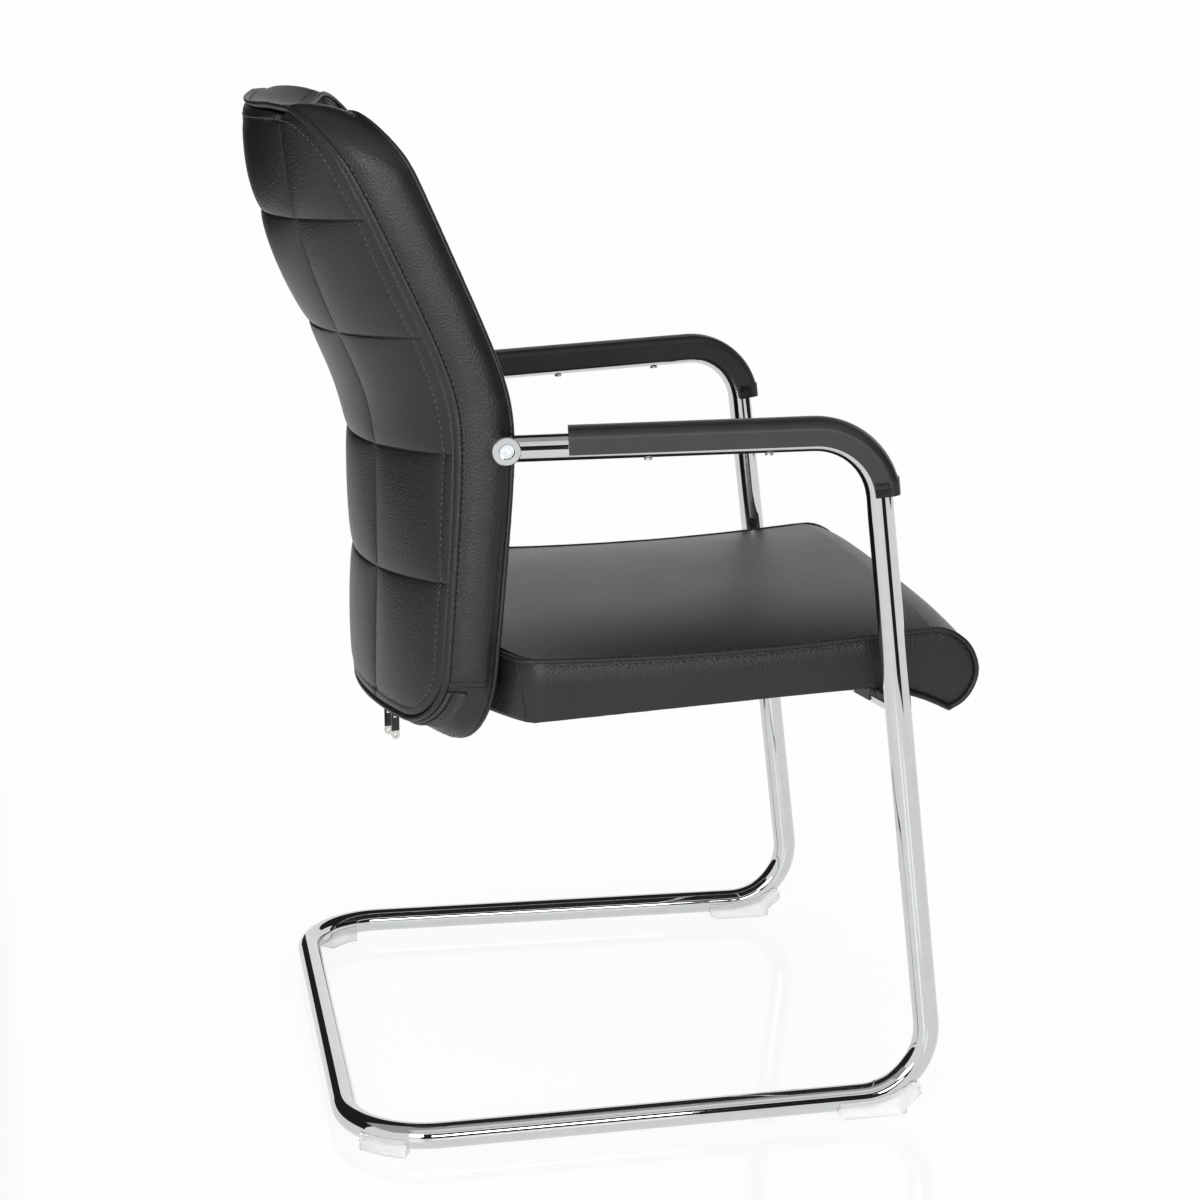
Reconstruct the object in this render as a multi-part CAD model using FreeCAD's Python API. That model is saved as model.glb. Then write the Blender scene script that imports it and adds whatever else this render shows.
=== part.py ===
"""Cantilever visitor chair with a chromed sled frame, a padded seat and a quilted backrest.

Lengths are in millimetres, +Z is up and the sitter faces -Y. While the chair is being drawn,
Y = 0 is the centre line of the rear crossbar and Z = 0 is the floor. The last lines move every
piece by one amount, so that the origin is on the floor under the middle of the chair. Left and
right are the sitter's, so left is +X.
"""

import FreeCAD, Part
import math
import os

V = FreeCAD.Vector
UP = V(0, 0, 1)
ACROSS = V(1, 0, 0)

# Chromed tube: arms, legs, floor rails and rear crossbar in one bent length
TUBE_D = 25.0
TUBE_WALL = 2.0
RAIL_Z = 17.5
LEG_HALF = 277.0
REAR_HALF = 293.0
FOOT_Y = -571.0
LEG_LEAN = 6.57
ARM_CORNER_Z = 672.0
ARM_END_HALF = 227.0
ARM_END_Y = -160.0
ARM_END_Z = 661.5
ARM_BEND = 60.5
FOOT_BEND = 65.0
REAR_BEND = 82.0

# Cross sleeve at the end of each arm, and the bolt that holds the backrest in it
EYE_D = 26.5
EYE_OUTER = 242.0
EYE_INNER = 214.0
BOLT_D = 8.0
BOLT_HEAD_D = 13.0
BOLT_HEAD_H = 8.0
BOLT_LENGTH = 40.0
BOLT_SOCKET = 6.0
BOLT_RECESS = 1.0
BOLT_PLAY = 0.4
WASHER_D = 15.0

# Tube under the front of the seat, its black saddles and its bolts
CROSS_D = 16.0
CROSS_WALL = 1.5
CROSS_Z = 410.5
CROSS_Y = -505.0
CROSS_STRAIGHT_HALF = 172.0
CROSS_BEND = 80.0
SADDLE_INNER = 206.0
SADDLE_OUTER = 236.0
SADDLE_WALL = 1.5
SEAT_BOLT_HALF = 120.0
SEAT_BOLT_D = 6.0
SEAT_BOLT_HEAD_D = 11.0
SEAT_BOLT_HEAD_H = 3.3
TEE_NUT_FLANGE_D = 19.0
TEE_NUT_FLANGE_T = 1.5

# Glides
GLIDE_WALL = 1.6
FRONT_GLIDE_REAR_Y = -473.0
FRONT_GLIDE_FLAT_Y = -479.0
FRONT_GLIDE_STEP_Y = -538.5
FRONT_GLIDE_TIP_Y = -556.0
REAR_GLIDE_FROM = 20.0
REAR_GLIDE_TO = 50.0

# Arm pads
PAD_REAR_Y = -218.0
PAD_END_Z = 631.0
PAD_PLAY = 0.15
PAD_RISE = 7.0
PAD_SIDE = 4.2
PAD_LIP = 5.0
PAD_SHOULDER_U = 8.5
PAD_SHOULDER_V = 9.0
PAD_CROWN = 1.0
PAD_SCREW_D = 4.0
PAD_SCREW_HEAD_D = 8.0
PAD_SCREW_STATIONS = (-290.0, -400.0)

# Seat: side line of the seams, plan outline, crown and board
SEAT_HALF = 237.0
SEAT_REAR_SIDE_Y = -180.0
SEAT_REAR_MID_Y = -113.0
SEAT_REAR_Z = 463.0
SEAT_SAG_Z = 463.5
SEAT_NOSE_Y = -566.0
SEAT_NOSE_Z = 472.5
SEAT_FRONT_Y = -614.0
SEAT_FRONT_Z = 424.0
SEAT_LIP_Y = -597.0
SEAT_LIP_Z = 395.5
SEAT_BEND_Y = -520.0
SEAT_UNDER_FRONT_Z = 420.3
SEAT_UNDER_REAR_Z = 401.5
SEAT_CROWN = 12.0
SEAT_SHOULDER = 34.0
SEAT_REAR_CORNER = 16.0
BOARD_T = 12.0
BOARD_INSET = 7.0
DUST_T = 0.8
DUST_INSET = 22.0
PIPING_D = 5.0
PIPING_JOIN = 1.0
PIPING_SEAT = 4.3

# Backrest: side line of its front seam, depth of its border, bow of its plan, outline
BACK_HALF = 212.0
BACK_BOTTOM_Z = 388.0
BACK_TOP_Z = 973.0
BACK_TOP_DIP = 8.0
BACK_TOP_CORNER = 55.0
BACK_BOTTOM_CORNER = 60.0
BACK_LUMBAR_Y = -177.5
BACK_LUMBAR_Z = 700.0
BACK_MEAN_SLOPE = 0.175
BACK_TURN_SLOPE = 0.28
BACK_BLEND = 45.0
BORDER_DEPTH_LOW = 42.0
BORDER_DEPTH_TOP = 54.0
BORDER_T = 5.0
PAD_GAP = 0.3
SHELL_T = 10.0
SHELL_SETBACK = 16.0
SHELL_INSET = 9.0

# Quilting: height of each horizontal seam at the side of the back and bow of the plan there
QUILT_SEAMS = ((388.0, 60.0), (532.5, 70.0), (655.0, 81.0), (764.0, 96.0), (871.5, 88.0), (973.0, 52.0))
QUILT_COLUMN_HALF = 150.0
QUILT_PUFF_MIDDLE = 12.0
QUILT_PUFF_SIDE = 7.0
QUILT_PUFF_SEAM = 2.5
SEAM_DROP = 0.12

# Front pads: lower and upper seam of each, and how far they stand out
LOWER_PAD = (394.0, 525.0, 5.0)
LUMBAR_PAD = (525.0, 752.0, 13.0)
HEAD_PILLOW = (752.0, 966.0, 18.0)
PAD_SEAM_PUFF = 1.5
PAD_EDGE_WIDTH = 36.0

# Steel angles between arms and shell, and flat bars between seat board and shell
ARM_BRACKET_T = 4.0
ARM_BRACKET_H = 60.0
ARM_BRACKET_X = 205.0
ARM_BRACKET_FLANGE = 46.0
ARM_NUT_AF = 13.0
ARM_NUT_H = 6.5
BAR_T = 5.0
BAR_WIDTH = 30.0
BAR_HALF = 62.0
BAR_TOP_Z = 520.0
BAR_SEAT_LENGTH = 150.0
BAR_BOLT_D = 6.0
BAR_HEAD_D = 12.0
BAR_HEAD_H = 3.0

# Zip in the lower border
ZIP_SETBACK = 9.0
ZIP_TAPE_W = 24.0
ZIP_TAPE_T = 0.8
ZIP_TEETH_W = 5.0
ZIP_TEETH_T = 1.4
ZIP_HALF = 150.0
SLIDER_RIGHT_X = -113.0
SLIDER_LEFT_X = -95.0
SLIDER_LENGTH = 12.0
SLIDER_W = 8.5
SLIDER_H = 3.4
SLIDER_PLAY = 0.3
PULL_W = 8.0
PULL_T = 1.6
PULL_TAB_LENGTH = 15.5
PULL_END_D = 8.6
PULL_PIN_D = 1.8
PULL_PLAY = 0.25


def mirrored(shape):
    return shape.mirror(V(0, 0, 0), ACROSS)


def cylinder(start, end, diameter):
    axis = end - start
    return Part.makeCylinder(diameter / 2, axis.Length, start, axis)


def fused(shapes):
    result = shapes[0]
    for shape in shapes[1:]:
        result = result.fuse(shape)
    return result.removeSplitter()


def cut_all(shape, tools):
    for tool in tools:
        shape = shape.cut(tool)
    return shape


def rounded_path(points, radii):
    """Straight runs joined by tangent arcs, with one radius for each inner point."""
    edges = []
    start = points[0]
    for before, corner, after, radius in zip(points, points[1:], points[2:], radii):
        back = (before - corner).normalize()
        ahead = (after - corner).normalize()
        half_angle = back.getAngle(ahead) / 2
        reach = radius / math.tan(half_angle)
        first = corner + back * reach
        last = corner + ahead * reach
        bisector = (back + ahead).normalize()
        middle = corner + bisector * (radius / math.sin(half_angle) - radius)
        edges.append(Part.makeLine(start, first))
        edges.append(Part.Arc(first, middle, last).toShape())
        start = last
    edges.append(Part.makeLine(start, points[-1]))
    return Part.Wire(edges)


def widest_radii(points):
    """For each inner point, the largest arc that its two runs leave room for."""
    radii = []
    for before, corner, after in zip(points, points[1:], points[2:]):
        turn = math.pi - (before - corner).getAngle(after - corner)
        shorter = min((before - corner).Length, (after - corner).Length)
        radii.append(0.45 * shorter / math.tan(turn / 2))
    return radii


def swept_round(path, diameter):
    first = path.OrderedEdges[0]
    start = first.valueAt(first.FirstParameter)
    along = first.tangentAt(first.FirstParameter)
    profile = Part.Wire(Part.makeCircle(diameter / 2, start, along))
    return path.makePipeShell([profile], True, False)


def closed_face(edges):
    return Part.Face(Part.Wire(Part.sortEdges(edges)[0]))


def arc(first, middle, last):
    return Part.Arc(first, middle, last).toShape()


def is_circle(edge, diameter):
    return isinstance(edge.Curve, Part.Circle) and abs(edge.Curve.Radius - diameter / 2) < 0.01


def hexagon_prism(start, end, across_flats):
    """Six-sided bar from start to end."""
    axis = end - start
    side = axis.cross(UP)
    if side.Length < 1e-6:
        side = axis.cross(ACROSS)
    side.normalize()
    other = axis.cross(side).normalize()
    radius = across_flats / math.sqrt(3)
    corners = []
    for step in range(7):
        angle = math.radians(60 * step)
        corners.append(start + side * (radius * math.cos(angle)) + other * (radius * math.sin(angle)))
    return Part.Face(Part.makePolygon(corners)).extrude(axis)


# Frame


def leg_y(z):
    """Centre line of a leg at height z."""
    return FOOT_Y + (z - RAIL_Z) * math.tan(math.radians(LEG_LEAN))


def side_points(side):
    arm_end = V(side * ARM_END_HALF, ARM_END_Y, ARM_END_Z)
    arm_corner = V(side * LEG_HALF, leg_y(ARM_CORNER_Z), ARM_CORNER_Z)
    foot_corner = V(side * LEG_HALF, FOOT_Y, RAIL_Z)
    rear_corner = V(side * REAR_HALF, 0, RAIL_Z)
    return [arm_end, arm_corner, foot_corner, rear_corner]


def frame_path():
    points = side_points(1) + side_points(-1)[::-1]
    bends = [ARM_BEND, FOOT_BEND, REAR_BEND]
    return rounded_path(points, bends + bends[::-1])


def eye_ends(side):
    inner = V(side * EYE_INNER, ARM_END_Y, ARM_END_Z)
    outer = V(side * EYE_OUTER, ARM_END_Y, ARM_END_Z)
    return inner, outer


def make_sled_frame():
    path = frame_path()
    tube = swept_round(path, TUBE_D).cut(swept_round(path, TUBE_D - 2 * TUBE_WALL))
    for side in (1, -1):
        tube = tube.cut(cylinder(*eye_ends(side), EYE_D))
        for station in PAD_SCREW_STATIONS:
            tube = tube.cut(pad_screw_hole(side, station))
    return tube


def make_arm_eye():
    inner, outer = eye_ends(1)
    floor = outer - ACROSS * (BOLT_HEAD_H + BOLT_RECESS)
    eye = cylinder(inner, outer, EYE_D)
    eye = eye.cut(cylinder(floor, outer, BOLT_HEAD_D + 4 * BOLT_PLAY))
    eye = eye.cut(cylinder(inner, outer, BOLT_D + BOLT_PLAY))
    rims = [edge for edge in eye.Edges if is_circle(edge, EYE_D)]
    return eye.makeChamfer(0.8, rims)


def make_arm_bolt():
    outer = V(EYE_OUTER - BOLT_RECESS, ARM_END_Y, ARM_END_Z)
    under_head = outer - ACROSS * BOLT_HEAD_H
    tip = under_head - ACROSS * BOLT_LENGTH
    bolt = cylinder(under_head, outer, BOLT_HEAD_D).fuse(cylinder(tip, under_head, BOLT_D))
    socket = hexagon_prism(outer - ACROSS * 4, outer + ACROSS, BOLT_SOCKET)
    return bolt.cut(socket)


def make_arm_washer():
    outer = V(EYE_INNER, ARM_END_Y, ARM_END_Z)
    inner = V(BACK_HALF, ARM_END_Y, ARM_END_Z)
    return cylinder(inner, outer, WASHER_D).cut(cylinder(inner, outer, BOLT_D + BOLT_PLAY))


def make_seat_cross_tube():
    leg = V(LEG_HALF, leg_y(CROSS_Z), CROSS_Z)
    elbow = V(CROSS_STRAIGHT_HALF, CROSS_Y, CROSS_Z)
    points = [leg, elbow, V(-elbow.x, elbow.y, elbow.z), V(-leg.x, leg.y, leg.z)]
    path = rounded_path(points, [CROSS_BEND, CROSS_BEND])
    tube = swept_round(path, CROSS_D).cut(swept_round(path, CROSS_D - 2 * CROSS_WALL))
    tube = tube.cut(swept_round(frame_path(), TUBE_D))
    for side in (1, -1):
        hole_at = V(side * SEAT_BOLT_HALF, CROSS_Y, CROSS_Z - CROSS_D)
        tube = tube.cut(cylinder(hole_at, hole_at + UP * (2 * CROSS_D), SEAT_BOLT_D + BOLT_PLAY))
    return tube


def cross_y(x):
    """Centre line of the cross tube at x, outside its straight middle."""
    span = LEG_HALF - CROSS_STRAIGHT_HALF
    return CROSS_Y + (leg_y(CROSS_Z) - CROSS_Y) * (x - CROSS_STRAIGHT_HALF) / span


def make_seat_saddle():
    """Plastic spacer that hugs the upper half of the cross tube and touches the seat board."""
    radius = CROSS_D / 2
    start = V(SADDLE_INNER, cross_y(SADDLE_INNER), CROSS_Z)
    end = V(SADDLE_OUTER, cross_y(SADDLE_OUTER), CROSS_Z)
    along = (end - start).normalize()
    width = V(along.y, -along.x, 0)
    height = board_under_z(CROSS_Y) - CROSS_Z
    half = radius + SADDLE_WALL
    lip = radius * 0.4
    corners = [
        start + width * half - UP * lip,
        start + width * half + UP * height,
        start - width * half + UP * height,
        start - width * half - UP * lip,
    ]
    block = Part.Face(Part.makePolygon(corners + corners[:1])).extrude(end - start)
    return block.cut(cylinder(start - along, end + along, CROSS_D))


def make_seat_tube_bolt():
    head_at = V(SEAT_BOLT_HALF, CROSS_Y, CROSS_Z - CROSS_D / 2)
    top = V(SEAT_BOLT_HALF, CROSS_Y, board_under_z(CROSS_Y) + BOARD_T - 1)
    head = cylinder(head_at - UP * SEAT_BOLT_HEAD_H, head_at, SEAT_BOLT_HEAD_D)
    return head.fuse(cylinder(head_at, top, SEAT_BOLT_D))


def tee_nut_flange():
    top = V(SEAT_BOLT_HALF, CROSS_Y, board_under_z(CROSS_Y) + BOARD_T)
    return cylinder(top - UP * 0.6, top + UP * TEE_NUT_FLANGE_T, TEE_NUT_FLANGE_D)


def make_seat_tee_nut():
    top = V(SEAT_BOLT_HALF, CROSS_Y, board_under_z(CROSS_Y) + BOARD_T)
    bottom = top - UP * (BOARD_T - 2)
    flange = tee_nut_flange()
    barrel = cylinder(bottom, top, 8.0)
    bore = cylinder(bottom, top + UP * TEE_NUT_FLANGE_T, SEAT_BOLT_D)
    return flange.fuse(barrel).cut(bore)


def make_front_glide():
    """Saddle under the foot bend: flat sole, raised toe, thin walls up to the tube's middle."""
    half = TUBE_D / 2 + GLIDE_WALL
    middle_y = (FRONT_GLIDE_FLAT_Y + FRONT_GLIDE_STEP_Y) / 2
    outline = [
        V(0, FRONT_GLIDE_REAR_Y, RAIL_Z - TUBE_D / 2),
        V(0, FRONT_GLIDE_FLAT_Y, 0),
        V(0, FRONT_GLIDE_STEP_Y, 0),
        V(0, FRONT_GLIDE_STEP_Y - 3, 2),
        V(0, FRONT_GLIDE_STEP_Y - 3.5, 9),
        V(0, FRONT_GLIDE_TIP_Y, 21),
        V(0, FRONT_GLIDE_TIP_Y + 1, 29),
        V(0, FRONT_GLIDE_TIP_Y + 8, 33),
        V(0, middle_y - 16, RAIL_Z + 4),
        V(0, middle_y + 10, RAIL_Z),
        V(0, FRONT_GLIDE_REAR_Y, RAIL_Z),
    ]
    block = Part.Face(Part.makePolygon(outline + outline[:1])).extrude(ACROSS * (2 * half))
    block.translate(V(LEG_HALF - half, 0, 0))
    flare = math.degrees(math.atan2(REAR_HALF - LEG_HALF, -FOOT_Y))
    block.rotate(V(LEG_HALF, FOOT_Y, 0), UP, -flare)
    return block.cut(swept_round(frame_path(), TUBE_D))


def rear_bend_centre():
    """Centre of the rear corner's bend on the left, and the direction of the rail there."""
    rail = (V(LEG_HALF, FOOT_Y, 0) - V(REAR_HALF, 0, 0)).normalize()
    cross = V(-1, 0, 0)
    half_angle = rail.getAngle(cross) / 2
    bisector = (rail + cross).normalize()
    return V(REAR_HALF, 0, 0) + bisector * (REAR_BEND / math.sin(half_angle))


def make_rear_glide():
    centre = rear_bend_centre()
    half = TUBE_D / 2 + GLIDE_WALL
    inner = REAR_BEND - half
    outer = REAR_BEND + half
    corners = [V(inner, 0, 0), V(outer, 0, 0), V(outer, 0, RAIL_Z), V(inner, 0, RAIL_Z)]
    section = Part.Face(Part.makePolygon(corners + corners[:1]))
    glide = section.revolve(V(0, 0, 0), UP, REAR_GLIDE_TO - REAR_GLIDE_FROM)
    glide.rotate(V(0, 0, 0), UP, REAR_GLIDE_FROM)
    glide.translate(V(centre.x, centre.y, 0))
    return glide.cut(swept_round(frame_path(), TUBE_D))


# Arm pads


def arm_frame(side):
    """Direction of the arm towards the front, its outward normal and its sideways direction."""
    arm_end, corner, foot, _ = side_points(side)
    along = (corner - arm_end).normalize()
    down = (foot - corner).normalize()
    outward = (along * down.dot(along) - down).normalize()
    return along, outward, along.cross(outward)


def arm_point(side, y):
    arm_end, corner, _, _ = side_points(side)
    share = (y - arm_end.y) / (corner.y - arm_end.y)
    return arm_end + (corner - arm_end) * share


def pad_screw_hole(side, station):
    _, outward, _ = arm_frame(side)
    centre = arm_point(side, station)
    return cylinder(centre - outward * TUBE_D, centre + outward * TUBE_D, PAD_SCREW_D + BOLT_PLAY)


def make_arm_pad():
    along, outward, aside = arm_frame(1)
    start = arm_point(1, PAD_REAR_Y)
    corner = side_points(1)[1]
    end = V(LEG_HALF, leg_y(PAD_END_Z), PAD_END_Z)
    path = rounded_path([start, corner, end], [ARM_BEND])
    radius = TUBE_D / 2 + PAD_PLAY
    half = radius + PAD_SIDE
    top = radius + PAD_RISE
    lip_u = math.sqrt(radius**2 - PAD_LIP**2)

    def at(u, v):
        return start + aside * u + outward * v

    shoulder_v = top - PAD_CROWN
    turn = 1 - math.sqrt(0.5)

    def shoulder(side):
        low = at(side * half, shoulder_v - PAD_SHOULDER_V)
        middle = at(side * (half - PAD_SHOULDER_U * turn), shoulder_v - PAD_SHOULDER_V * turn)
        high = at(side * (half - PAD_SHOULDER_U), shoulder_v)
        return arc(low, middle, high)

    diagonal = radius * math.sqrt(0.5)
    edges = [
        Part.makeLine(at(-half, -PAD_LIP), at(-half, shoulder_v - PAD_SHOULDER_V)),
        shoulder(-1),
        arc(at(PAD_SHOULDER_U - half, shoulder_v), at(0, top), at(half - PAD_SHOULDER_U, shoulder_v)),
        shoulder(1),
        Part.makeLine(at(half, shoulder_v - PAD_SHOULDER_V), at(half, -PAD_LIP)),
        Part.makeLine(at(half, -PAD_LIP), at(lip_u, -PAD_LIP)),
        arc(at(lip_u, -PAD_LIP), at(diagonal, diagonal), at(0, radius)),
        arc(at(0, radius), at(-diagonal, diagonal), at(-lip_u, -PAD_LIP)),
        Part.makeLine(at(-lip_u, -PAD_LIP), at(-half, -PAD_LIP)),
    ]
    profile = Part.Wire(Part.sortEdges(edges)[0])
    pad = path.makePipeShell([profile], True, False)
    for station in PAD_SCREW_STATIONS:
        pad = pad.cut(make_pad_screw(1, station))
    return pad


def make_pad_screw(side, station):
    _, outward, _ = arm_frame(side)
    centre = arm_point(side, station)
    under = centre - outward * (TUBE_D / 2)
    tip = centre + outward * (TUBE_D / 2 + PAD_RISE - 2.5)
    head = cylinder(under - outward * 2.2, under, PAD_SCREW_HEAD_D)
    return head.fuse(cylinder(under - outward * 1, tip, PAD_SCREW_D))


# Seat


def board_under_z(y):
    """Underside of the seat board at y, behind its front bend."""
    share = (y - SEAT_BEND_Y) / (SEAT_REAR_SIDE_Y - SEAT_BEND_Y)
    return SEAT_UNDER_FRONT_Z + DUST_T + (SEAT_UNDER_REAR_Z - SEAT_UNDER_FRONT_Z) * share


def seat_section(x, rise):
    """Closed side outline of the seat at x, with its top raised by rise."""
    rear_y = SEAT_REAR_MID_Y + 12
    under_rear = board_under_z(rear_y) - DUST_T
    top_rear = V(x, rear_y, SEAT_REAR_Z + rise)
    top_sag = V(x, (SEAT_REAR_SIDE_Y + SEAT_NOSE_Y) / 2, SEAT_SAG_Z + 1.4 * rise)
    nose = V(x, SEAT_NOSE_Y - 0.3 * rise, SEAT_NOSE_Z + 0.8 * rise)
    front = V(x, SEAT_FRONT_Y - 0.3 * rise, SEAT_FRONT_Z)
    lip = V(x, SEAT_LIP_Y, SEAT_LIP_Z)
    lip_rear = V(x, SEAT_LIP_Y + 8, SEAT_LIP_Z)
    bend = V(x, SEAT_BEND_Y, SEAT_UNDER_FRONT_Z)
    rear = V(x, rear_y, under_rear)
    nose_mid = V(x, nose.y + (front.y - nose.y) * 0.74, front.z + (nose.z - front.z) * 0.7)
    front_mid = V(x, SEAT_FRONT_Y - 0.1 * rise + 3.2, (SEAT_FRONT_Z + SEAT_LIP_Z) / 2 - 4)
    under_mid = V(x, (lip_rear.y + bend.y) / 2, (lip_rear.z + bend.z) / 2 + 3.5)
    edges = [
        arc(top_rear, top_sag, nose),
        arc(nose, nose_mid, front),
        arc(front, front_mid, lip),
        Part.makeLine(lip, lip_rear),
        arc(lip_rear, under_mid, bend),
        Part.makeLine(bend, rear),
        Part.makeLine(rear, top_rear),
    ]
    return Part.Wire(edges)


def rear_arc_bow():
    return SEAT_REAR_MID_Y - SEAT_REAR_SIDE_Y


def seat_rear_y(x, inset=0.0):
    """Rear edge of the seat in plan, a wide arc that follows the front of the back."""
    bow = rear_arc_bow()
    radius = (SEAT_HALF**2 + bow**2) / (2 * bow)
    return SEAT_REAR_MID_Y - radius + math.sqrt(radius**2 - x**2) - inset


def seat_plan(inset, bottom, height):
    """Upright block with the seat's plan outline, drawn in by inset."""
    half = SEAT_HALF - inset
    front = SEAT_FRONT_Y - 20
    rear_side = V(half, seat_rear_y(half, inset), bottom)
    rear_mid = V(0, seat_rear_y(0, inset), bottom)
    edges = [
        arc(V(-half, rear_side.y, bottom), rear_mid, rear_side),
        Part.makeLine(rear_side, V(half, front, bottom)),
        Part.makeLine(V(half, front, bottom), V(-half, front, bottom)),
        Part.makeLine(V(-half, front, bottom), V(-half, rear_side.y, bottom)),
    ]
    block = closed_face(edges).extrude(UP * height)
    corners = []
    for edge in block.Edges:
        upright = abs(edge.tangentAt(edge.FirstParameter).z) > 0.99
        if upright and edge.CenterOfMass.y > front + 1:
            corners.append(edge)
    return block.makeFillet(max(SEAT_REAR_CORNER - inset, 2.0), corners)


def make_seat_form():
    """Whole seat as one outer form: crowned top, boxed sides, rolled front."""
    shoulder_x = SEAT_HALF - SEAT_SHOULDER
    stations = [
        (-SEAT_HALF - 1, 0.0),
        (-shoulder_x, 0.62 * SEAT_CROWN),
        (0.0, SEAT_CROWN),
        (shoulder_x, 0.62 * SEAT_CROWN),
        (SEAT_HALF + 1, 0.0),
    ]
    sections = [seat_section(x, rise) for x, rise in stations]
    form = Part.makeLoft(sections, True, False)
    return form.common(seat_plan(0.0, SEAT_LIP_Z - 20, 160.0))


def board_outline(thickness, lift):
    """Side outline of a bent sheet that lies lift above the seat's underside."""
    rear_y = SEAT_REAR_MID_Y

    def under(y):
        return board_under_z(y) - DUST_T + lift

    lip = V(0, SEAT_LIP_Y + 12, SEAT_LIP_Z + lift + 1)
    middle = V(0, (lip.y + SEAT_BEND_Y) / 2, (lip.z + under(SEAT_BEND_Y)) / 2 + 3.5)
    bend = V(0, SEAT_BEND_Y, under(SEAT_BEND_Y))
    rear = V(0, rear_y, under(rear_y))
    slope = (lip - bend).normalize()
    normal = V(0, slope.z, -slope.y)
    lift_up = UP * thickness
    edges = [
        arc(lip, middle, bend),
        Part.makeLine(bend, rear),
        Part.makeLine(rear, rear + lift_up),
        Part.makeLine(rear + lift_up, bend + lift_up),
        arc(bend + lift_up, middle + normal * thickness, lip + normal * thickness),
        Part.makeLine(lip + normal * thickness, lip),
    ]
    return closed_face(edges)


def bent_sheet(thickness, lift, inset):
    half = SEAT_HALF - inset
    sheet = board_outline(thickness, lift).extrude(ACROSS * (2 * half))
    sheet.translate(V(-half, 0, 0))
    return sheet.common(seat_plan(inset, SEAT_LIP_Z - 20, 160.0))


def make_seat_board():
    board = bent_sheet(BOARD_T, DUST_T, BOARD_INSET)
    for side in (1, -1):
        at = V(side * SEAT_BOLT_HALF, CROSS_Y, CROSS_Z)
        board = board.cut(cylinder(at, at + UP * 40, 8.0))
        for bolt in bar_seat_bolts(side):
            board = board.cut(bolt)
    return board


def piping_points():
    """Route of the seat's corded seam: up the front on one side, round the rear, down the other."""
    out = PIPING_D / 2 + 0.1
    side_x = SEAT_HALF + out
    rear_z = SEAT_REAR_Z - 1
    middle_y = (SEAT_REAR_SIDE_Y + SEAT_NOSE_Y) / 2
    front = [
        V(side_x, SEAT_LIP_Y - 3, SEAT_LIP_Z + 5),
        V(side_x, SEAT_FRONT_Y + 5, SEAT_LIP_Z + 14),
        V(side_x, SEAT_FRONT_Y + 3, SEAT_FRONT_Z),
        V(side_x, SEAT_FRONT_Y + 6, SEAT_FRONT_Z + 18),
        V(side_x, SEAT_FRONT_Y + 16, SEAT_FRONT_Z + 35),
        V(side_x, SEAT_NOSE_Y - 12, SEAT_NOSE_Z - 4.5),
        V(side_x, SEAT_NOSE_Y + 20, SEAT_NOSE_Z - 3),
        V(side_x, middle_y - 70, SEAT_SAG_Z - 0.5),
        V(side_x, middle_y + 50, SEAT_SAG_Z - 3),
    ]
    turn = SEAT_REAR_CORNER + out + 4 * PAD_GAP
    corner_x = SEAT_HALF - SEAT_REAR_CORNER
    corner_y = seat_rear_y(SEAT_HALF) - SEAT_REAR_CORNER * 0.7
    corner = [V(side_x, corner_y - 14, rear_z)]
    for angle in (10, 35, 60):
        x = corner_x + turn * math.cos(math.radians(angle))
        corner.append(V(x, corner_y + turn * math.sin(math.radians(angle)), rear_z))
    rear = []
    for x in (SEAT_HALF - 30, 165.0, 124.0, 84.0, 46.0, 15.0):
        rear.append(V(x, seat_rear_y(x) + out + PAD_GAP, rear_z))
    left = front + corner + rear
    right = [V(-point.x, point.y, point.z) for point in left[::-1]]
    return left + right


def make_seat_piping():
    points = piping_points()
    return swept_round(rounded_path(points, widest_radii(points)), PIPING_D)


# Backrest


def front_seam_y(z):
    """Side line of the backrest's front seam: two leans blended at the lumbar height."""
    above = z - BACK_LUMBAR_Z
    turn = BACK_TURN_SLOPE * math.sqrt(above**2 + BACK_BLEND**2)
    return BACK_LUMBAR_Y + BACK_MEAN_SLOPE * above + turn


def border_depth(z):
    share = (z - BACK_BOTTOM_Z) / (BACK_TOP_Z - BACK_BOTTOM_Z)
    return BORDER_DEPTH_LOW + (BORDER_DEPTH_TOP - BORDER_DEPTH_LOW) * share


def plan_bow(z):
    """How far the middle of the back lies behind its sides at height z, smooth through the seams."""
    heights = [seam[0] for seam in QUILT_SEAMS]
    bows = [seam[1] for seam in QUILT_SEAMS]
    last = len(heights) - 1
    slopes = []
    for index in range(last + 1):
        before = max(index - 1, 0)
        after = min(index + 1, last)
        slopes.append((bows[after] - bows[before]) / (heights[after] - heights[before]))
    if z <= heights[0]:
        return bows[0] + slopes[0] * (z - heights[0])
    if z >= heights[last]:
        return bows[last] + slopes[last] * (z - heights[last])
    index = max(step for step in range(last) if heights[step] <= z)
    run = heights[index + 1] - heights[index]
    share = (z - heights[index]) / run
    start = bows[index] * (1 + 2 * share) + slopes[index] * run * share
    end = bows[index + 1] * (3 - 2 * share) - slopes[index + 1] * run * (1 - share)
    return start * (1 - share) ** 2 + end * share**2


def bowed(x, z):
    """Rearward bow at x, on the circle through both sides and the middle."""
    bow = plan_bow(z)
    radius = (BACK_HALF**2 + bow**2) / (2 * bow)
    return bow - radius + math.sqrt(radius**2 - x**2)


def layer_y(x, z, offset):
    """A surface that lies offset behind the backrest's front seams."""
    return front_seam_y(z) + bowed(x, z) + offset


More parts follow.
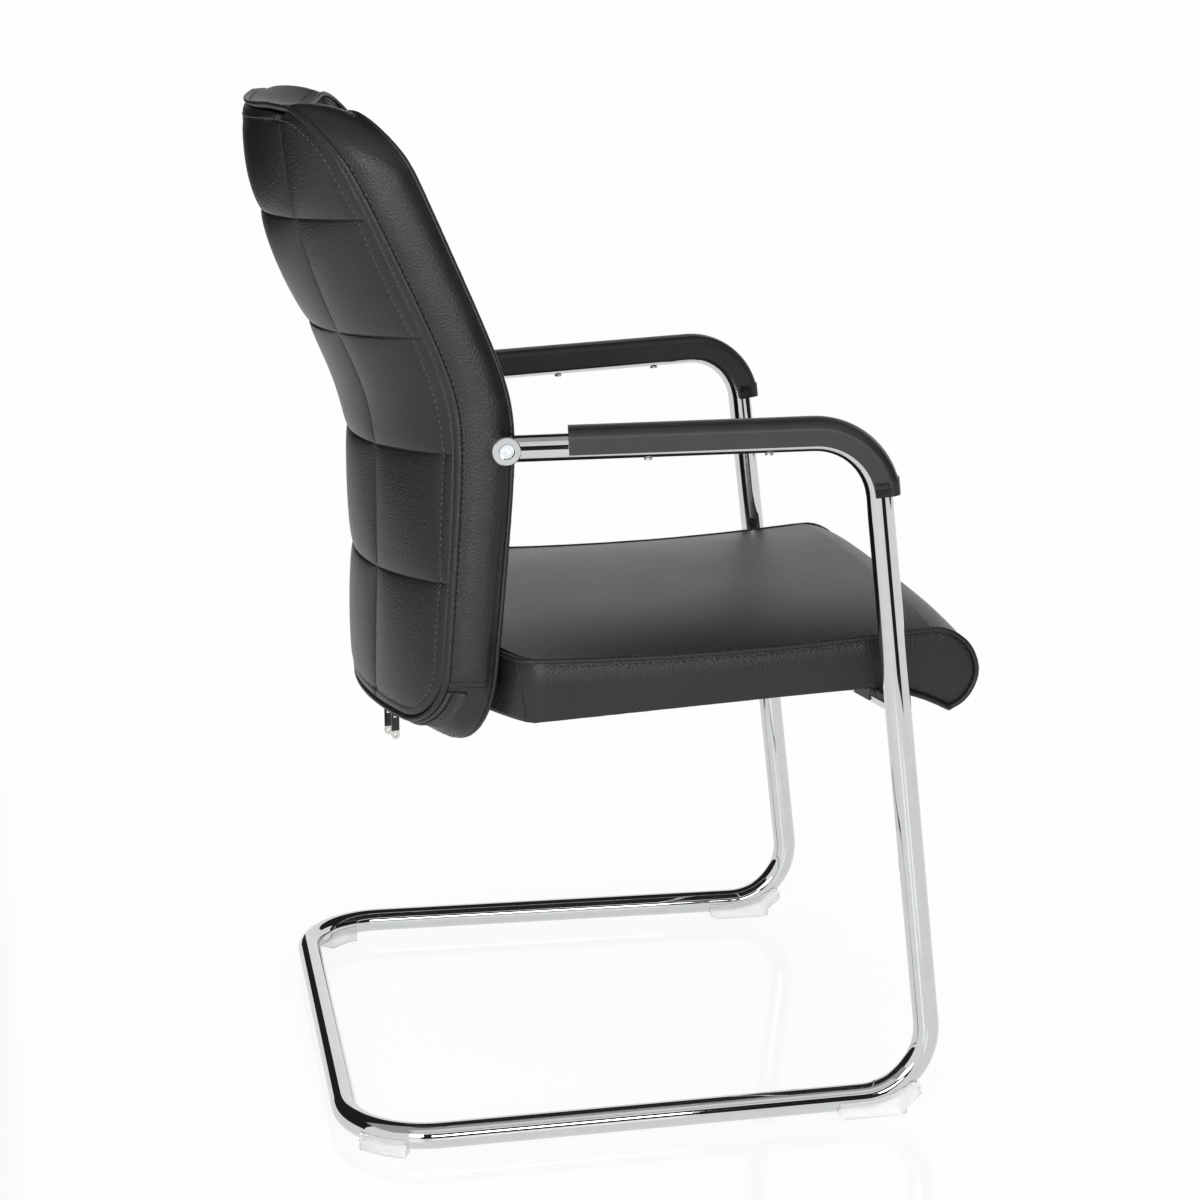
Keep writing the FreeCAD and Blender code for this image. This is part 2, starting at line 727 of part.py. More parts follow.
def back_outline(inset):
    """Upright block with the backrest's front view outline, drawn in by inset."""
    half = BACK_HALF - inset
    top = BACK_TOP_Z - inset
    bottom = BACK_BOTTOM_Z + inset
    high = BACK_TOP_CORNER - inset
    low = BACK_BOTTOM_CORNER - inset
    turn = 1 - math.sqrt(0.5)
    front = -400

    def at(x, z):
        return V(x, front, z)

    dip = top - BACK_TOP_DIP
    edges = [
        Part.makeLine(at(-half, bottom + low), at(-half, top - high)),
        arc(at(-half, top - high), at(-half + high * turn, top - high * turn), at(-half + high, top)),
        arc(at(-half + high, top), at(0, dip), at(half - high, top)),
        arc(at(half - high, top), at(half - high * turn, top - high * turn), at(half, top - high)),
        Part.makeLine(at(half, top - high), at(half, bottom + low)),
        arc(at(half, bottom + low), at(half - low * turn, bottom + low * turn), at(half - low, bottom)),
        Part.makeLine(at(half - low, bottom), at(-half + low, bottom)),
        arc(at(-half + low, bottom), at(-half + low * turn, bottom + low * turn), at(-half, bottom + low)),
    ]
    return closed_face(edges).extrude(V(0, 600, 0))


def layer_section(z, near, far):
    """Level section of a layer between the offsets near and far."""
    half = BACK_HALF + 1
    rows = []
    for offset in (near, far):
        y_side = layer_y(half, z, offset)
        rows.append((V(-half, y_side, z), V(0, layer_y(0, z, offset), z), V(half, y_side, z)))
    front, rear = rows
    edges = [
        arc(*front),
        Part.makeLine(front[2], rear[2]),
        arc(rear[2], rear[1], rear[0]),
        Part.makeLine(rear[0], front[0]),
    ]
    return Part.Wire(edges)


def layer_stations():
    count = 12
    low = BACK_BOTTOM_Z - 6
    high = BACK_TOP_Z + 6
    return [low + (high - low) * step / count for step in range(count + 1)]


def back_layer(near, far):
    """Solid between two offsets; each is a function of the height."""
    sections = [layer_section(z, near(z), far(z)) for z in layer_stations()]
    return Part.makeLoft(sections, True, False)


def shell_front(z):
    return SHELL_SETBACK


def shell_rear(z):
    return SHELL_SETBACK + SHELL_T


def make_back_shell():
    shell = back_layer(shell_front, shell_rear)
    return shell.common(back_outline(SHELL_INSET))


def make_back_border():
    band = back_layer(lambda z: 0.0, border_depth)
    ring = back_outline(0.0).cut(back_outline(BORDER_T))
    return band.common(ring)


def seam_point(x, z_side, offset, extra):
    """Point of a tilted seam plane: seams drop towards the middle of the back."""
    y_side = layer_y(BACK_HALF, z_side, border_depth(z_side))
    z = z_side
    for _ in range(8):
        y = layer_y(x, z, offset(z)) + extra
        z = z_side - SEAM_DROP * (y - y_side)
    return V(x, y, z)


def quilt_section(z_side, puff_middle, puff_side):
    """Closed section of the rear pad: three puffed columns behind, shell in front."""
    half = BACK_HALF + 1
    column = QUILT_COLUMN_HALF
    between = (half + column) / 2

    def rear(x, extra):
        return seam_point(x, z_side, border_depth, extra)

    def front(x):
        return seam_point(x, z_side, shell_rear, -20.0)

    edges = [
        arc(rear(-half, 0), rear(-between, puff_side), rear(-column, 0)),
        arc(rear(-column, 0), rear(0, puff_middle), rear(column, 0)),
        arc(rear(column, 0), rear(between, puff_side), rear(half, 0)),
        Part.makeLine(rear(half, 0), front(half)),
        arc(front(half), front(0), front(-half)),
        Part.makeLine(front(-half), rear(-half, 0)),
    ]
    return Part.Wire(edges)


def make_quilted_back_pad():
    heights = [seam[0] for seam in QUILT_SEAMS]
    heights[0] -= 4
    heights[-1] += 2
    rows = []
    for low, high in zip(heights, heights[1:]):
        sections = [
            quilt_section(low, QUILT_PUFF_SEAM, QUILT_PUFF_SEAM / 2),
            quilt_section((low + high) / 2, QUILT_PUFF_MIDDLE, QUILT_PUFF_SIDE),
            quilt_section(high, QUILT_PUFF_SEAM, QUILT_PUFF_SEAM / 2),
        ]
        rows.append(Part.makeLoft(sections, True, False))
    pad = fused(rows)
    behind_shell = back_layer(lambda z: shell_rear(z) + PAD_GAP, lambda z: 200.0)
    return pad.common(back_outline(BORDER_T + PAD_GAP)).common(behind_shell)


def front_pad_section(z, puff):
    """Level section of a front pad: round shoulders at the sides, shell behind."""
    half = BACK_HALF - BORDER_T - PAD_GAP
    shoulder = half - PAD_EDGE_WIDTH
    near_edge = half - PAD_EDGE_WIDTH * 0.3

    def front(x, out):
        return V(x, layer_y(x, z, 0) - out, z)

    def rear(x):
        return V(x, layer_y(x, z, shell_front(z) + 20), z)

    edges = [
        arc(front(-half, 0), front(-near_edge, 0.72 * puff), front(-shoulder, puff)),
        arc(front(-shoulder, puff), front(0, puff + 2), front(shoulder, puff)),
        arc(front(shoulder, puff), front(near_edge, 0.72 * puff), front(half, 0)),
        Part.makeLine(front(half, 0), rear(half)),
        arc(rear(half), rear(0), rear(-half)),
        Part.makeLine(rear(-half), front(-half, 0)),
    ]
    return Part.Wire(edges)


def make_front_pad(low, high, puff):
    """Stuffed pad between two level seams on the front of the shell."""
    shares = (0.0, 0.12, 0.5, 0.88, 1.0)
    heights = [low + (high - low) * share for share in shares]
    puffs = (PAD_SEAM_PUFF, 0.72 * puff, puff, 0.72 * puff, PAD_SEAM_PUFF)
    sections = [front_pad_section(z, out) for z, out in zip(heights, puffs)]
    pad = Part.makeLoft(sections, True, False)
    before_shell = back_layer(lambda z: -200.0, lambda z: shell_front(z) - PAD_GAP)
    return pad.common(back_outline(BORDER_T + PAD_GAP)).common(before_shell)


def corner_points(centre_x, centre_z, radius, start, end):
    """Points round a corner of the backrest's outline, in the front view."""
    points = []
    half_step = math.radians((end - start) / 12)
    reach = radius / math.cos(half_step)
    for step in range(6):
        angle = math.radians(start) + half_step * (2 * step + 1)
        points.append((centre_x + reach * math.cos(angle), centre_z + reach * math.sin(angle)))
    return points


def back_piping_points():
    """Route of the corded seam on the border's front rim, open by a small join at the bottom."""
    inset = PIPING_D / 2
    half = BACK_HALF - inset
    top = BACK_TOP_Z - inset
    bottom = BACK_BOTTOM_Z + inset
    low = BACK_BOTTOM_CORNER - inset
    high = BACK_TOP_CORNER - inset
    flat = [(PIPING_JOIN / 2, bottom), (45.0, bottom), (95.0, bottom), (half - low - 12, bottom)]
    flat += corner_points(half - low, bottom + low, low, -90, 0)
    side_low = bottom + low + 15
    side_high = top - high - 12
    for step in range(20):
        flat.append((half, side_low + (side_high - side_low) * step / 19))
    flat += corner_points(half - high, top - high, high, 0, 90)
    for x in (half - high - 12, 100.0, 60.0, 20.0):
        flat.append((x, top - BACK_TOP_DIP * (1 - (x / (half - high)) ** 2)))
    right = [(-x, z) for x, z in flat[::-1]]
    return [V(x, layer_y(x, z, -PIPING_SEAT), z) for x, z in flat + right]


def make_back_piping():
    points = back_piping_points()
    return swept_round(rounded_path(points, widest_radii(points)), PIPING_D)


# Steel inside the backrest and between seat and back


def plan_angle(x, z):
    """Turn of the back's plan at x, in degrees."""
    bow = plan_bow(z)
    radius = (BACK_HALF**2 + bow**2) / (2 * bow)
    return math.degrees(math.asin(x / radius))


def make_arm_bracket():
    """Angle: a plate across the arm bolt and a flange on the front of the shell."""
    z = ARM_END_Z
    low = z - ARM_BRACKET_H / 2
    inner = ARM_BRACKET_X - ARM_BRACKET_T
    root_y = layer_y(inner, z, shell_front(z)) - 1.5
    plate = Part.makeBox(ARM_BRACKET_T, root_y - (ARM_END_Y - 9), ARM_BRACKET_H, V(inner, ARM_END_Y - 9, low))
    flange = Part.makeBox(ARM_BRACKET_FLANGE, 3.0, ARM_BRACKET_H, V(-ARM_BRACKET_FLANGE, -3.0, 0))
    flange.translate(V(ARM_BRACKET_X, root_y, low))
    middle = ARM_BRACKET_X - ARM_BRACKET_FLANGE / 2
    flange.rotate(V(ARM_BRACKET_X, root_y, low), UP, -plan_angle(middle, z))
    nut = hexagon_prism(V(inner - ARM_NUT_H, ARM_END_Y, z), V(inner, ARM_END_Y, z), ARM_NUT_AF)
    bracket = fused([plate, flange, nut])
    bracket = bracket.cut(cylinder(V(inner - 20, ARM_END_Y, z), V(inner + 20, ARM_END_Y, z), BOLT_D))
    return bracket.cut(make_back_shell())


def arm_bracket_screw_axes():
    """Start and direction of the screws of the left arm bracket."""
    x = ARM_BRACKET_X - ARM_BRACKET_FLANGE * 0.62
    angle = math.radians(plan_angle(x, ARM_END_Z))
    direction = V(math.sin(angle), math.cos(angle), 0)
    starts = []
    for rise in (-ARM_BRACKET_H / 4, ARM_BRACKET_H / 4):
        z = ARM_END_Z + rise
        starts.append(V(x, layer_y(x, z, shell_front(z)), z))
    return starts, direction


def make_arm_bracket_screws():
    starts, direction = arm_bracket_screw_axes()
    screws = []
    for start in starts:
        head = cylinder(start - direction * 8, start - direction * 5.5, 8.0)
        shank = cylinder(start - direction * 6, start + direction * (SHELL_T - 3), 4.0)
        screws.append(head.fuse(shank))
    return Part.makeCompound(screws)


def bar_place(shape):
    """Carries a shape from the bar's own frame to its place on the left of the back."""
    z = BAR_TOP_Z - 40
    y = layer_y(BAR_HALF, z, shell_front(z))
    shape.rotate(V(0, 0, 0), UP, -plan_angle(BAR_HALF, z))
    shape.translate(V(BAR_HALF, y, 0))
    return shape


def bar_outline_points():
    """Side line of the bar's rear face: foot on the seat board, then up along the shell."""
    z_mid = BAR_TOP_Z - 40
    y_mid = layer_y(BAR_HALF, z_mid, shell_front(z_mid))

    def shell_line(z):
        return layer_y(BAR_HALF, z, shell_front(z)) - y_mid

    foot_y = -BAR_SEAT_LENGTH
    foot_z = board_under_z(y_mid + foot_y) + BOARD_T
    heel_z = board_under_z(y_mid) + BOARD_T
    return V(0, foot_y, foot_z), V(0, shell_line(heel_z), heel_z), V(0, shell_line(BAR_TOP_Z), BAR_TOP_Z)


def make_back_bar():
    """Flat bar bent into an L, on the seat board and on the front of the shell."""
    foot, heel, top = bar_outline_points()
    up_run = (top - heel).normalize()
    front_run = (foot - heel).normalize()
    inner_heel = heel + up_run * BAR_T + front_run * BAR_T
    inner_foot = foot + UP * BAR_T
    inner_top = top - V(0, BAR_T, 0)
    corners = [foot, heel, top, inner_top, inner_heel, inner_foot]
    bar = Part.Face(Part.makePolygon(corners + corners[:1])).extrude(ACROSS * BAR_WIDTH)
    bar.translate(V(-BAR_WIDTH / 2, 0, 0))
    bar = bar_place(bar)
    for bolt in bar_seat_bolts(1) + bar_shell_bolts(1):
        bar = bar.cut(bolt)
    return bar


def bar_seat_bolts(side):
    foot, heel, _ = bar_outline_points()
    bolts = []
    for share in (0.18, 0.5):
        at = foot + (heel - foot) * share
        head = cylinder(at + UP * BAR_T, at + UP * (BAR_T + BAR_HEAD_H), BAR_HEAD_D)
        shank = cylinder(at - UP * (BOARD_T - 1), at + UP * BAR_T, BAR_BOLT_D)
        bolts.append(bar_place(head.fuse(shank)))
    return bolts if side > 0 else [mirrored(bolt) for bolt in bolts]


def bar_shell_bolts(side):
    _, heel, top = bar_outline_points()
    bolts = []
    for share in (0.5, 0.86):
        at = heel + (top - heel) * share - V(0, BAR_T, 0)
        head = cylinder(at - V(0, BAR_HEAD_H, 0), at, BAR_HEAD_D)
        shank = cylinder(at, at + V(0, BAR_T + SHELL_T - 1, 0), BAR_BOLT_D)
        bolts.append(bar_place(head.fuse(shank)))
    return bolts if side > 0 else [mirrored(bolt) for bolt in bolts]


# Zip


def zip_radius():
    bow = plan_bow(BACK_BOTTOM_Z)
    return (BACK_HALF**2 + bow**2) / (2 * bow)


def zip_centre():
    """Centre of the zip's arc; its sliders travel round this upright axis."""
    rear_seam = layer_y(0, BACK_BOTTOM_Z, border_depth(BACK_BOTTOM_Z))
    return V(0, rear_seam - ZIP_SETBACK - zip_radius(), 0)


def zip_band(width, top, thickness, half):
    """Flat band along the zip's arc, from -half to half in X."""
    centre = zip_centre()
    inner = zip_radius() - width / 2
    angle = math.degrees(math.asin(half / zip_radius()))
    corners = [V(inner, 0, 0), V(inner + width, 0, 0), V(inner + width, 0, thickness), V(inner, 0, thickness)]
    band = Part.Face(Part.makePolygon(corners + corners[:1])).revolve(V(0, 0, 0), UP, 2 * angle)
    band.rotate(V(0, 0, 0), UP, 90 - angle)
    band.translate(V(centre.x, centre.y, top - thickness))
    return band


def make_back_zip():
    tape = zip_band(ZIP_TAPE_W, BACK_BOTTOM_Z, ZIP_TAPE_T, ZIP_HALF)
    teeth = zip_band(ZIP_TEETH_W, BACK_BOTTOM_Z - ZIP_TAPE_T, ZIP_TEETH_T, ZIP_HALF)
    return tape.fuse(teeth)


def slider_place(shape, x):
    """Carries a shape from the slider's own frame, X along the zip, to x on the arc."""
    centre = zip_centre()
    angle = math.asin(x / zip_radius())
    shape.rotate(V(0, 0, 0), UP, -math.degrees(angle))
    across = V(math.sin(angle), math.cos(angle), 0)
    place = V(centre.x, centre.y, BACK_BOTTOM_Z - ZIP_TAPE_T) + across * zip_radius()
    shape.translate(place)
    return shape


def make_zip_slider(x):
    """Slider body with a channel for the teeth and a bridge that holds the pull."""
    top = -SLIDER_PLAY
    body = Part.makeBox(SLIDER_LENGTH, SLIDER_W, SLIDER_H, V(-SLIDER_LENGTH / 2, -SLIDER_W / 2, top - SLIDER_H))
    uprights = [edge for edge in body.Edges if abs(edge.tangentAt(edge.FirstParameter).z) > 0.99]
    body = body.makeFillet(2.0, uprights)
    channel_w = ZIP_TEETH_W + 2 * SLIDER_PLAY + 0.4
    channel_h = ZIP_TEETH_T + SLIDER_PLAY
    body = body.cut(Part.makeBox(SLIDER_LENGTH + 2, channel_w, channel_h + 1, V(-SLIDER_LENGTH / 2 - 1, -channel_w / 2, -channel_h)))
    under = top - SLIDER_H
    bridge_out = Part.makeBox(6.5, 2.0, 4.2, V(-3.25, -1.0, under - 4.2))
    window = cylinder(V(0, -3, under - 2.0), V(0, 3, under - 2.0), PULL_PIN_D + 2 * PULL_PLAY)
    bridge = bridge_out.cut(window)
    return slider_place(body.fuse(bridge), x)


def pull_axis_drop():
    return SLIDER_PLAY + SLIDER_H + 2.0


def pull_pin_centre(x):
    pin = slider_place(Part.Vertex(0, 0, -pull_axis_drop()), x)
    return pin.Point


def make_zip_pull(x):
    """Pull tab that hangs from the bridge on its cross pin."""
    axis_z = -pull_axis_drop()
    pin = cylinder(V(0, -PULL_W / 2, axis_z), V(0, PULL_W / 2, axis_z), PULL_PIN_D)
    arm_t = 2.2
    arm_drop = 4.6
    arms = []
    for y in (-PULL_W / 2, PULL_W / 2 - arm_t):
        arms.append(Part.makeBox(PULL_T, arm_t, arm_drop, V(-PULL_T / 2, y, axis_z - arm_drop)))
        arms.append(cylinder(V(0, y, axis_z), V(0, y + arm_t, axis_z), PULL_PIN_D + 0.8))
    tab_top = axis_z - arm_drop + 0.6
    tab = Part.makeBox(PULL_T, PULL_W, PULL_TAB_LENGTH, V(-PULL_T / 2, -PULL_W / 2, tab_top - PULL_TAB_LENGTH))
    end_z = tab_top - PULL_TAB_LENGTH - PULL_END_D / 2 + 2.5
    disc = cylinder(V(-PULL_T / 2, 0, end_z), V(PULL_T / 2, 0, end_z), PULL_END_D)
    pull = fused([pin] + arms + [tab, disc])
    pull = pull.cut(cylinder(V(-3, 0, end_z), V(3, 0, end_z), 3.0))
    return slider_place(pull, x)


# Assembly


def pair(name, shape):
    return {name + "_left": shape, name + "_right": mirrored(shape)}


def both(shape):
    return Part.makeCompound([shape, mirrored(shape)])


def make_pieces():
    pieces = {"sled_frame": make_sled_frame()}
    pieces["seat_cross_tube"] = make_seat_cross_tube()
    pieces.update(pair("arm_eye", make_arm_eye()))
    pieces.update(pair("front_glide", make_front_glide()))
    pieces.update(pair("rear_glide", make_rear_glide()))
    pieces.update(pair("arm_pad", make_arm_pad()))
    screws = [make_pad_screw(side, station) for side in (1, -1) for station in PAD_SCREW_STATIONS]
    pieces["arm_pad_screws"] = Part.makeCompound(screws)
    arm_bolt = make_arm_bolt()
    pieces["arm_bolts"] = both(arm_bolt)
    pieces["arm_bolt_washers"] = both(make_arm_washer())
    arm_bracket = make_arm_bracket()
    arm_screws = make_arm_bracket_screws()
    pieces.update(pair("arm_bracket", arm_bracket.cut(arm_screws)))
    pieces["arm_bracket_screws"] = both(arm_screws)
    seat_form = make_seat_form()
    pieces["seat_saddles"] = both(make_seat_saddle().cut(seat_form))
    pieces["seat_tube_bolts"] = both(make_seat_tube_bolt())
    pieces["seat_tee_nuts"] = both(make_seat_tee_nut())
    shell = make_back_shell()
    flat_bar = make_back_bar()
    bar = flat_bar.cut(shell)
    bar_pocket = both(flat_bar)
    bar_pocket_rear = bar_pocket.copy()
    bar_pocket_rear.translate(V(0, BAR_T / 2, 0))
    pieces.update(pair("back_bracket", bar))
    shell_bolts = bar_shell_bolts(1) + bar_shell_bolts(-1)
    bar_bolts = Part.makeCompound(bar_seat_bolts(1) + bar_seat_bolts(-1) + shell_bolts)
    pieces["back_bracket_bolts"] = bar_bolts
    pieces["seat_board"] = make_seat_board().cut(pieces["seat_tee_nuts"])
    dust_cover = bent_sheet(DUST_T, 0.0, DUST_INSET).cut(pieces["seat_board"])
    pieces["seat_dust_cover"] = dust_cover.cut(pieces["seat_tube_bolts"])
    under_board = bent_sheet(DUST_T + 20, -20.0, DUST_INSET)
    board_space = bent_sheet(BOARD_T, DUST_T, BOARD_INSET)
    tools = [under_board, board_space, both(tee_nut_flange()), both(bar), bar_bolts]
    pieces["seat_cushion"] = cut_all(seat_form, tools)
    pieces["seat_piping"] = make_seat_piping()
    pieces["back_shell"] = cut_all(shell, [both(arm_screws)] + shell_bolts)
    way_start = V(ARM_BRACKET_X - 30, ARM_END_Y, ARM_END_Z)
    bolt_way = both(cylinder(way_start, V(BACK_HALF + 1, ARM_END_Y, ARM_END_Z), BOLT_D + 2))
    pieces["back_border"] = make_back_border().cut(bolt_way)
    pieces["quilted_back_pad"] = make_quilted_back_pad()
    steel = [both(arm_bracket), both(arm_screws), bar_pocket, bar_pocket_rear, bar_bolts, bolt_way]
    pieces["lower_front_pad"] = cut_all(make_front_pad(*LOWER_PAD), steel)
    pieces["lumbar_pad"] = cut_all(make_front_pad(*LUMBAR_PAD), steel)
    pieces["head_pillow"] = make_front_pad(*HEAD_PILLOW)
    pieces["back_piping"] = make_back_piping()
    pieces["back_zip"] = make_back_zip()
    for name, x in (("left", SLIDER_LEFT_X), ("right", SLIDER_RIGHT_X)):
        pieces["zip_slider_" + name] = make_zip_slider(x)
        pieces["zip_pull_" + name] = make_zip_pull(x)
    return pieces


def main():
    os.makedirs("parts", exist_ok=True)
    pieces = make_pieces()
    whole = FreeCAD.BoundBox()
    for shape in pieces.values():
        whole.add(shape.optimalBoundingBox(False, False))
    shift = V(-whole.Center.x, -whole.Center.y, -whole.ZMin)
    print("moved by", shift)
    print("size", whole.XLength, whole.YLength, whole.ZLength)
    print("axis of the zip's arc", zip_centre() + shift)
    for name, x in (("left", SLIDER_LEFT_X), ("right", SLIDER_RIGHT_X)):
        print("pin of zip pull", name, pull_pin_centre(x) + shift)
    for name, shape in pieces.items():
        shape.translate(shift)
        shape.exportStep("parts/" + name + ".step")
        print(name, "solids", len(shape.Solids), "volume", round(shape.Volume / 1000, 2), "valid", shape.isValid())


main()
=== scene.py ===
# %% [markdown]
# # A cantilever visitor chair
#
# The real chair is one long chromed tube, bent so that it springs, with a boxed seat and a tall
# quilted backrest bolted to it. The tube, the bolts, the arm pads and the zip's moving parts come
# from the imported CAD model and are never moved. This lesson builds what a machine can't draw with
# straight edges: the stuffed leatherette, its seams, its piping and its stitches.
#
# Everything is in metres in the frame of the CAD model: +Z is up and the sitter faces -Y.

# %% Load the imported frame
import math

import bpy
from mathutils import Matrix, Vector, noise


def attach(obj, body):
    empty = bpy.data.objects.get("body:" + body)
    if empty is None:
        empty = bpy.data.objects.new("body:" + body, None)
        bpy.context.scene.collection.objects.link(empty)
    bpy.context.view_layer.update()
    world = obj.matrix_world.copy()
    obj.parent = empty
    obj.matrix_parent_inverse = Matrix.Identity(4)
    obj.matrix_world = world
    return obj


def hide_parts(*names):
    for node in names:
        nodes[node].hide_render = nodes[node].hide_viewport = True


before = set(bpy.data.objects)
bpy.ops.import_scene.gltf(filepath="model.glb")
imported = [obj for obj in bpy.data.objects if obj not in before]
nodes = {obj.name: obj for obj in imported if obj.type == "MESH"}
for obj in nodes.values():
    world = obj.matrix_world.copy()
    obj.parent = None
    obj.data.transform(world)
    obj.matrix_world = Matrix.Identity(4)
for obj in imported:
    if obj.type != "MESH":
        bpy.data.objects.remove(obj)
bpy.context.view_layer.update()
MM = 0.001
CHAIR = "chair"


# %% [markdown]
# ## The studio
#
# The photograph is a shop picture: a white floor that runs into a white background, and light
# from everywhere. The camera looks at the chair's right side, from a little behind it and from
# higher than the top of the backrest, so it looks down on the seat by some fourteen degrees. Its
# lens is a short telephoto, which draws the near and the far leg almost the same size.

# %% Camera
CAMERA_AT = (-2.6011, 0.4723, 1.1117)
CAMERA_LOOKS = (0.95436, -0.17803, -0.23979)
CAMERA_LENS_MM = 79.9
CAMERA_FILM_MM = 36.0
CAMERA_SEES_M = 200.0

bpy.ops.object.select_all(action="DESELECT")
bpy.ops.object.camera_add(location=CAMERA_AT)
camera = bpy.context.active_object
camera.name = "camera"
camera.rotation_euler = Vector(CAMERA_LOOKS).to_track_quat("-Z", "Y").to_euler()
camera.data.lens = CAMERA_LENS_MM
camera.data.sensor_width = CAMERA_FILM_MM
camera.data.clip_end = CAMERA_SEES_M
bpy.context.scene.camera = camera
bpy.context.scene.view_settings.view_transform = "Standard"
print("camera lens", camera.data.lens)


# %% [markdown]
# ## Finishes
#
# Each finish is built from what the real surface is: how it was made gives its pattern, and the
# pattern's size in millimetres gives its scale. One function turns a hex colour into the linear
# numbers that Blender wants, one adds a node with its settings and links, and one makes the usual
# finish: two shades in broad patches, a grain that dents the surface, and an uneven gloss.


# %% Colour and node helpers
def hex_colour(code):
    """An sRGB hex value as the linear colour that a shader socket takes."""
    channels = [int(code[index : index + 2], 16) / 255 for index in (1, 3, 5)]
    linear = [value / 12.92 if value <= 0.04045 else ((value + 0.055) / 1.055) ** 2.4 for value in channels]
    return (*linear, 1.0)


def add_node(tree, kind, settings=None, links=None):
    """One node with its settings, and the sockets that feed it."""
    node = tree.nodes.new(kind)
    for name, value in (settings or {}).items():
        if name in node.inputs:
            node.inputs[name].default_value = value
        else:
            setattr(node, name, value)
    for name, source in (links or {}).items():
        tree.links.new(source, node.inputs[name])
    return node


def new_finish(name, **shader):
    """A material with one Principled shader, its even values set on the shader's own sockets."""
    material = bpy.data.materials.new(name)
    material.use_nodes = True
    tree = material.node_tree
    principled = tree.nodes["Principled BSDF"]
    for socket, value in shader.items():
        principled.inputs[socket.replace("_", " ")].default_value = value
    place = add_node(tree, "ShaderNodeTexCoord").outputs["Object"]
    return material, tree, principled, place


def two_shades(tree, principled, factor, dark, light):
    """Colour between two hex shades, by a factor from 0 to 1."""
    ramp = add_node(tree, "ShaderNodeValToRGB", links={"Fac": factor})
    ramp.color_ramp.elements[0].color = hex_colour(dark)
    ramp.color_ramp.elements[0].position = 0.3
    ramp.color_ramp.elements[1].color = hex_colour(light)
    ramp.color_ramp.elements[1].position = 0.7
    tree.links.new(ramp.outputs["Color"], principled.inputs["Base Color"])


def uneven_gloss(tree, principled, factor, low, high):
    """Roughness between low and high, by a factor from 0 to 1."""
    settings = {"To Min": low, "To Max": high}
    spread = add_node(tree, "ShaderNodeMapRange", settings, {"Value": factor})
    tree.links.new(spread.outputs["Result"], principled.inputs["Roughness"])


def dented(tree, principled, height, depth_mm, strength=1.0):
    """Bump from a height pattern whose full range is depth_mm."""
    settings = {"Distance": depth_mm * MM, "Strength": strength}
    bump = add_node(tree, "ShaderNodeBump", settings, {"Height": height})
    tree.links.new(bump.outputs["Normal"], principled.inputs["Normal"])


def grained_finish(name, shades, patch_mm, gloss, grain_mm, depth_mm, cells=False, **shader):
    """Broad patches of two shades, a fine grain and an uneven gloss."""
    material, tree, principled, place = new_finish(name, **shader)
    patch_settings = {"Scale": 1 / (patch_mm * MM), "Detail": 4.0, "Roughness": 0.6}
    patches = add_node(tree, "ShaderNodeTexNoise", patch_settings, {"Vector": place})
    two_shades(tree, principled, patches.outputs["Fac"], *shades)
    uneven_gloss(tree, principled, patches.outputs["Fac"], *gloss)
    if cells:
        settings = {"Scale": 1 / (grain_mm * MM), "feature": "SMOOTH_F1", "Smoothness": 0.35}
        grain = add_node(tree, "ShaderNodeTexVoronoi", settings, {"Vector": place}).outputs["Distance"]
    else:
        settings = {"Scale": 1 / (grain_mm * MM), "Detail": 3.0}
        grain = add_node(tree, "ShaderNodeTexNoise", settings, {"Vector": place}).outputs["Fac"]
    dented(tree, principled, grain, depth_mm)
    return material


# %% [markdown]
# ### Leatherette
#
# The cover is polyurethane skin on a knitted backing. A roller presses a pebbled calf grain into
# it, about one pebble per millimetre, and the skin is a soft black that mirrors a wide, dull
# highlight. Where the cover is pulled over an edge the grain flattens and shines a little more,
# so the gloss wanders in patches a hand wide. The grain is drawn at 1.8 mm, because one of 1 mm
# would fall between the pixels.

# %% Leatherette, thread and zip finishes
leatherette = grained_finish(
    "polyurethane_leatherette_calf_grain",
    shades=("#17171a", "#1d1d20"),
    patch_mm=70,
    gloss=(0.33, 0.42),
    grain_mm=1.8,
    depth_mm=0.26,
    cells=True,
    Specular_IOR_Level=0.42,
)
# The stitches are black polyester thread. On the quilt's panels and on the zip tape it is painted grey, a
# painted highlight for the sheen that the thread catches.
thread_painted_highlight = grained_finish(
    "black_polyester_thread_painted_grey_highlight",
    shades=("#3c3c3f", "#525256"),
    patch_mm=6,
    gloss=(0.35, 0.5),
    grain_mm=0.5,
    depth_mm=0.1,
    Sheen_Weight=0.2,
)
# In the seams the same black thread is painted darker than the leatherette round it, a painted shade for
# where it sinks into the seam.
thread_painted_shade = grained_finish(
    "black_polyester_thread_painted_seam_shade",
    shades=("#070708", "#101012"),
    patch_mm=6,
    gloss=(0.6, 0.8),
    grain_mm=0.5,
    depth_mm=0.1,
)
print("finishes so far", leatherette.name, thread_painted_highlight.name, thread_painted_shade.name)

# %% [markdown]
# ### Chromed steel
#
# The tube is steel, polished, plated with nickel and then with a skin of chromium under a micron
# thick. Chromium is a bluish white mirror. Polishing leaves long faint marks and the plating has a
# slight orange peel, which the eye reads as soft breaks in the reflected lines.

# %% Metal finishes
PEEL_PER_M = 55.0
chrome, chrome_tree, chrome_shader, chrome_place = new_finish(
    "chromium_plate_on_polished_steel", Metallic=1.0
)
peel_settings = {"Scale": PEEL_PER_M, "Detail": 2.0}
peel = add_node(chrome_tree, "ShaderNodeTexNoise", peel_settings, {"Vector": chrome_place})
two_shades(chrome_tree, chrome_shader, peel.outputs["Fac"], "#cbcdcf", "#d0d2d3")
uneven_gloss(chrome_tree, chrome_shader, peel.outputs["Fac"], 0.03, 0.05)
dented(chrome_tree, chrome_shader, peel.outputs["Fac"], 0.003)

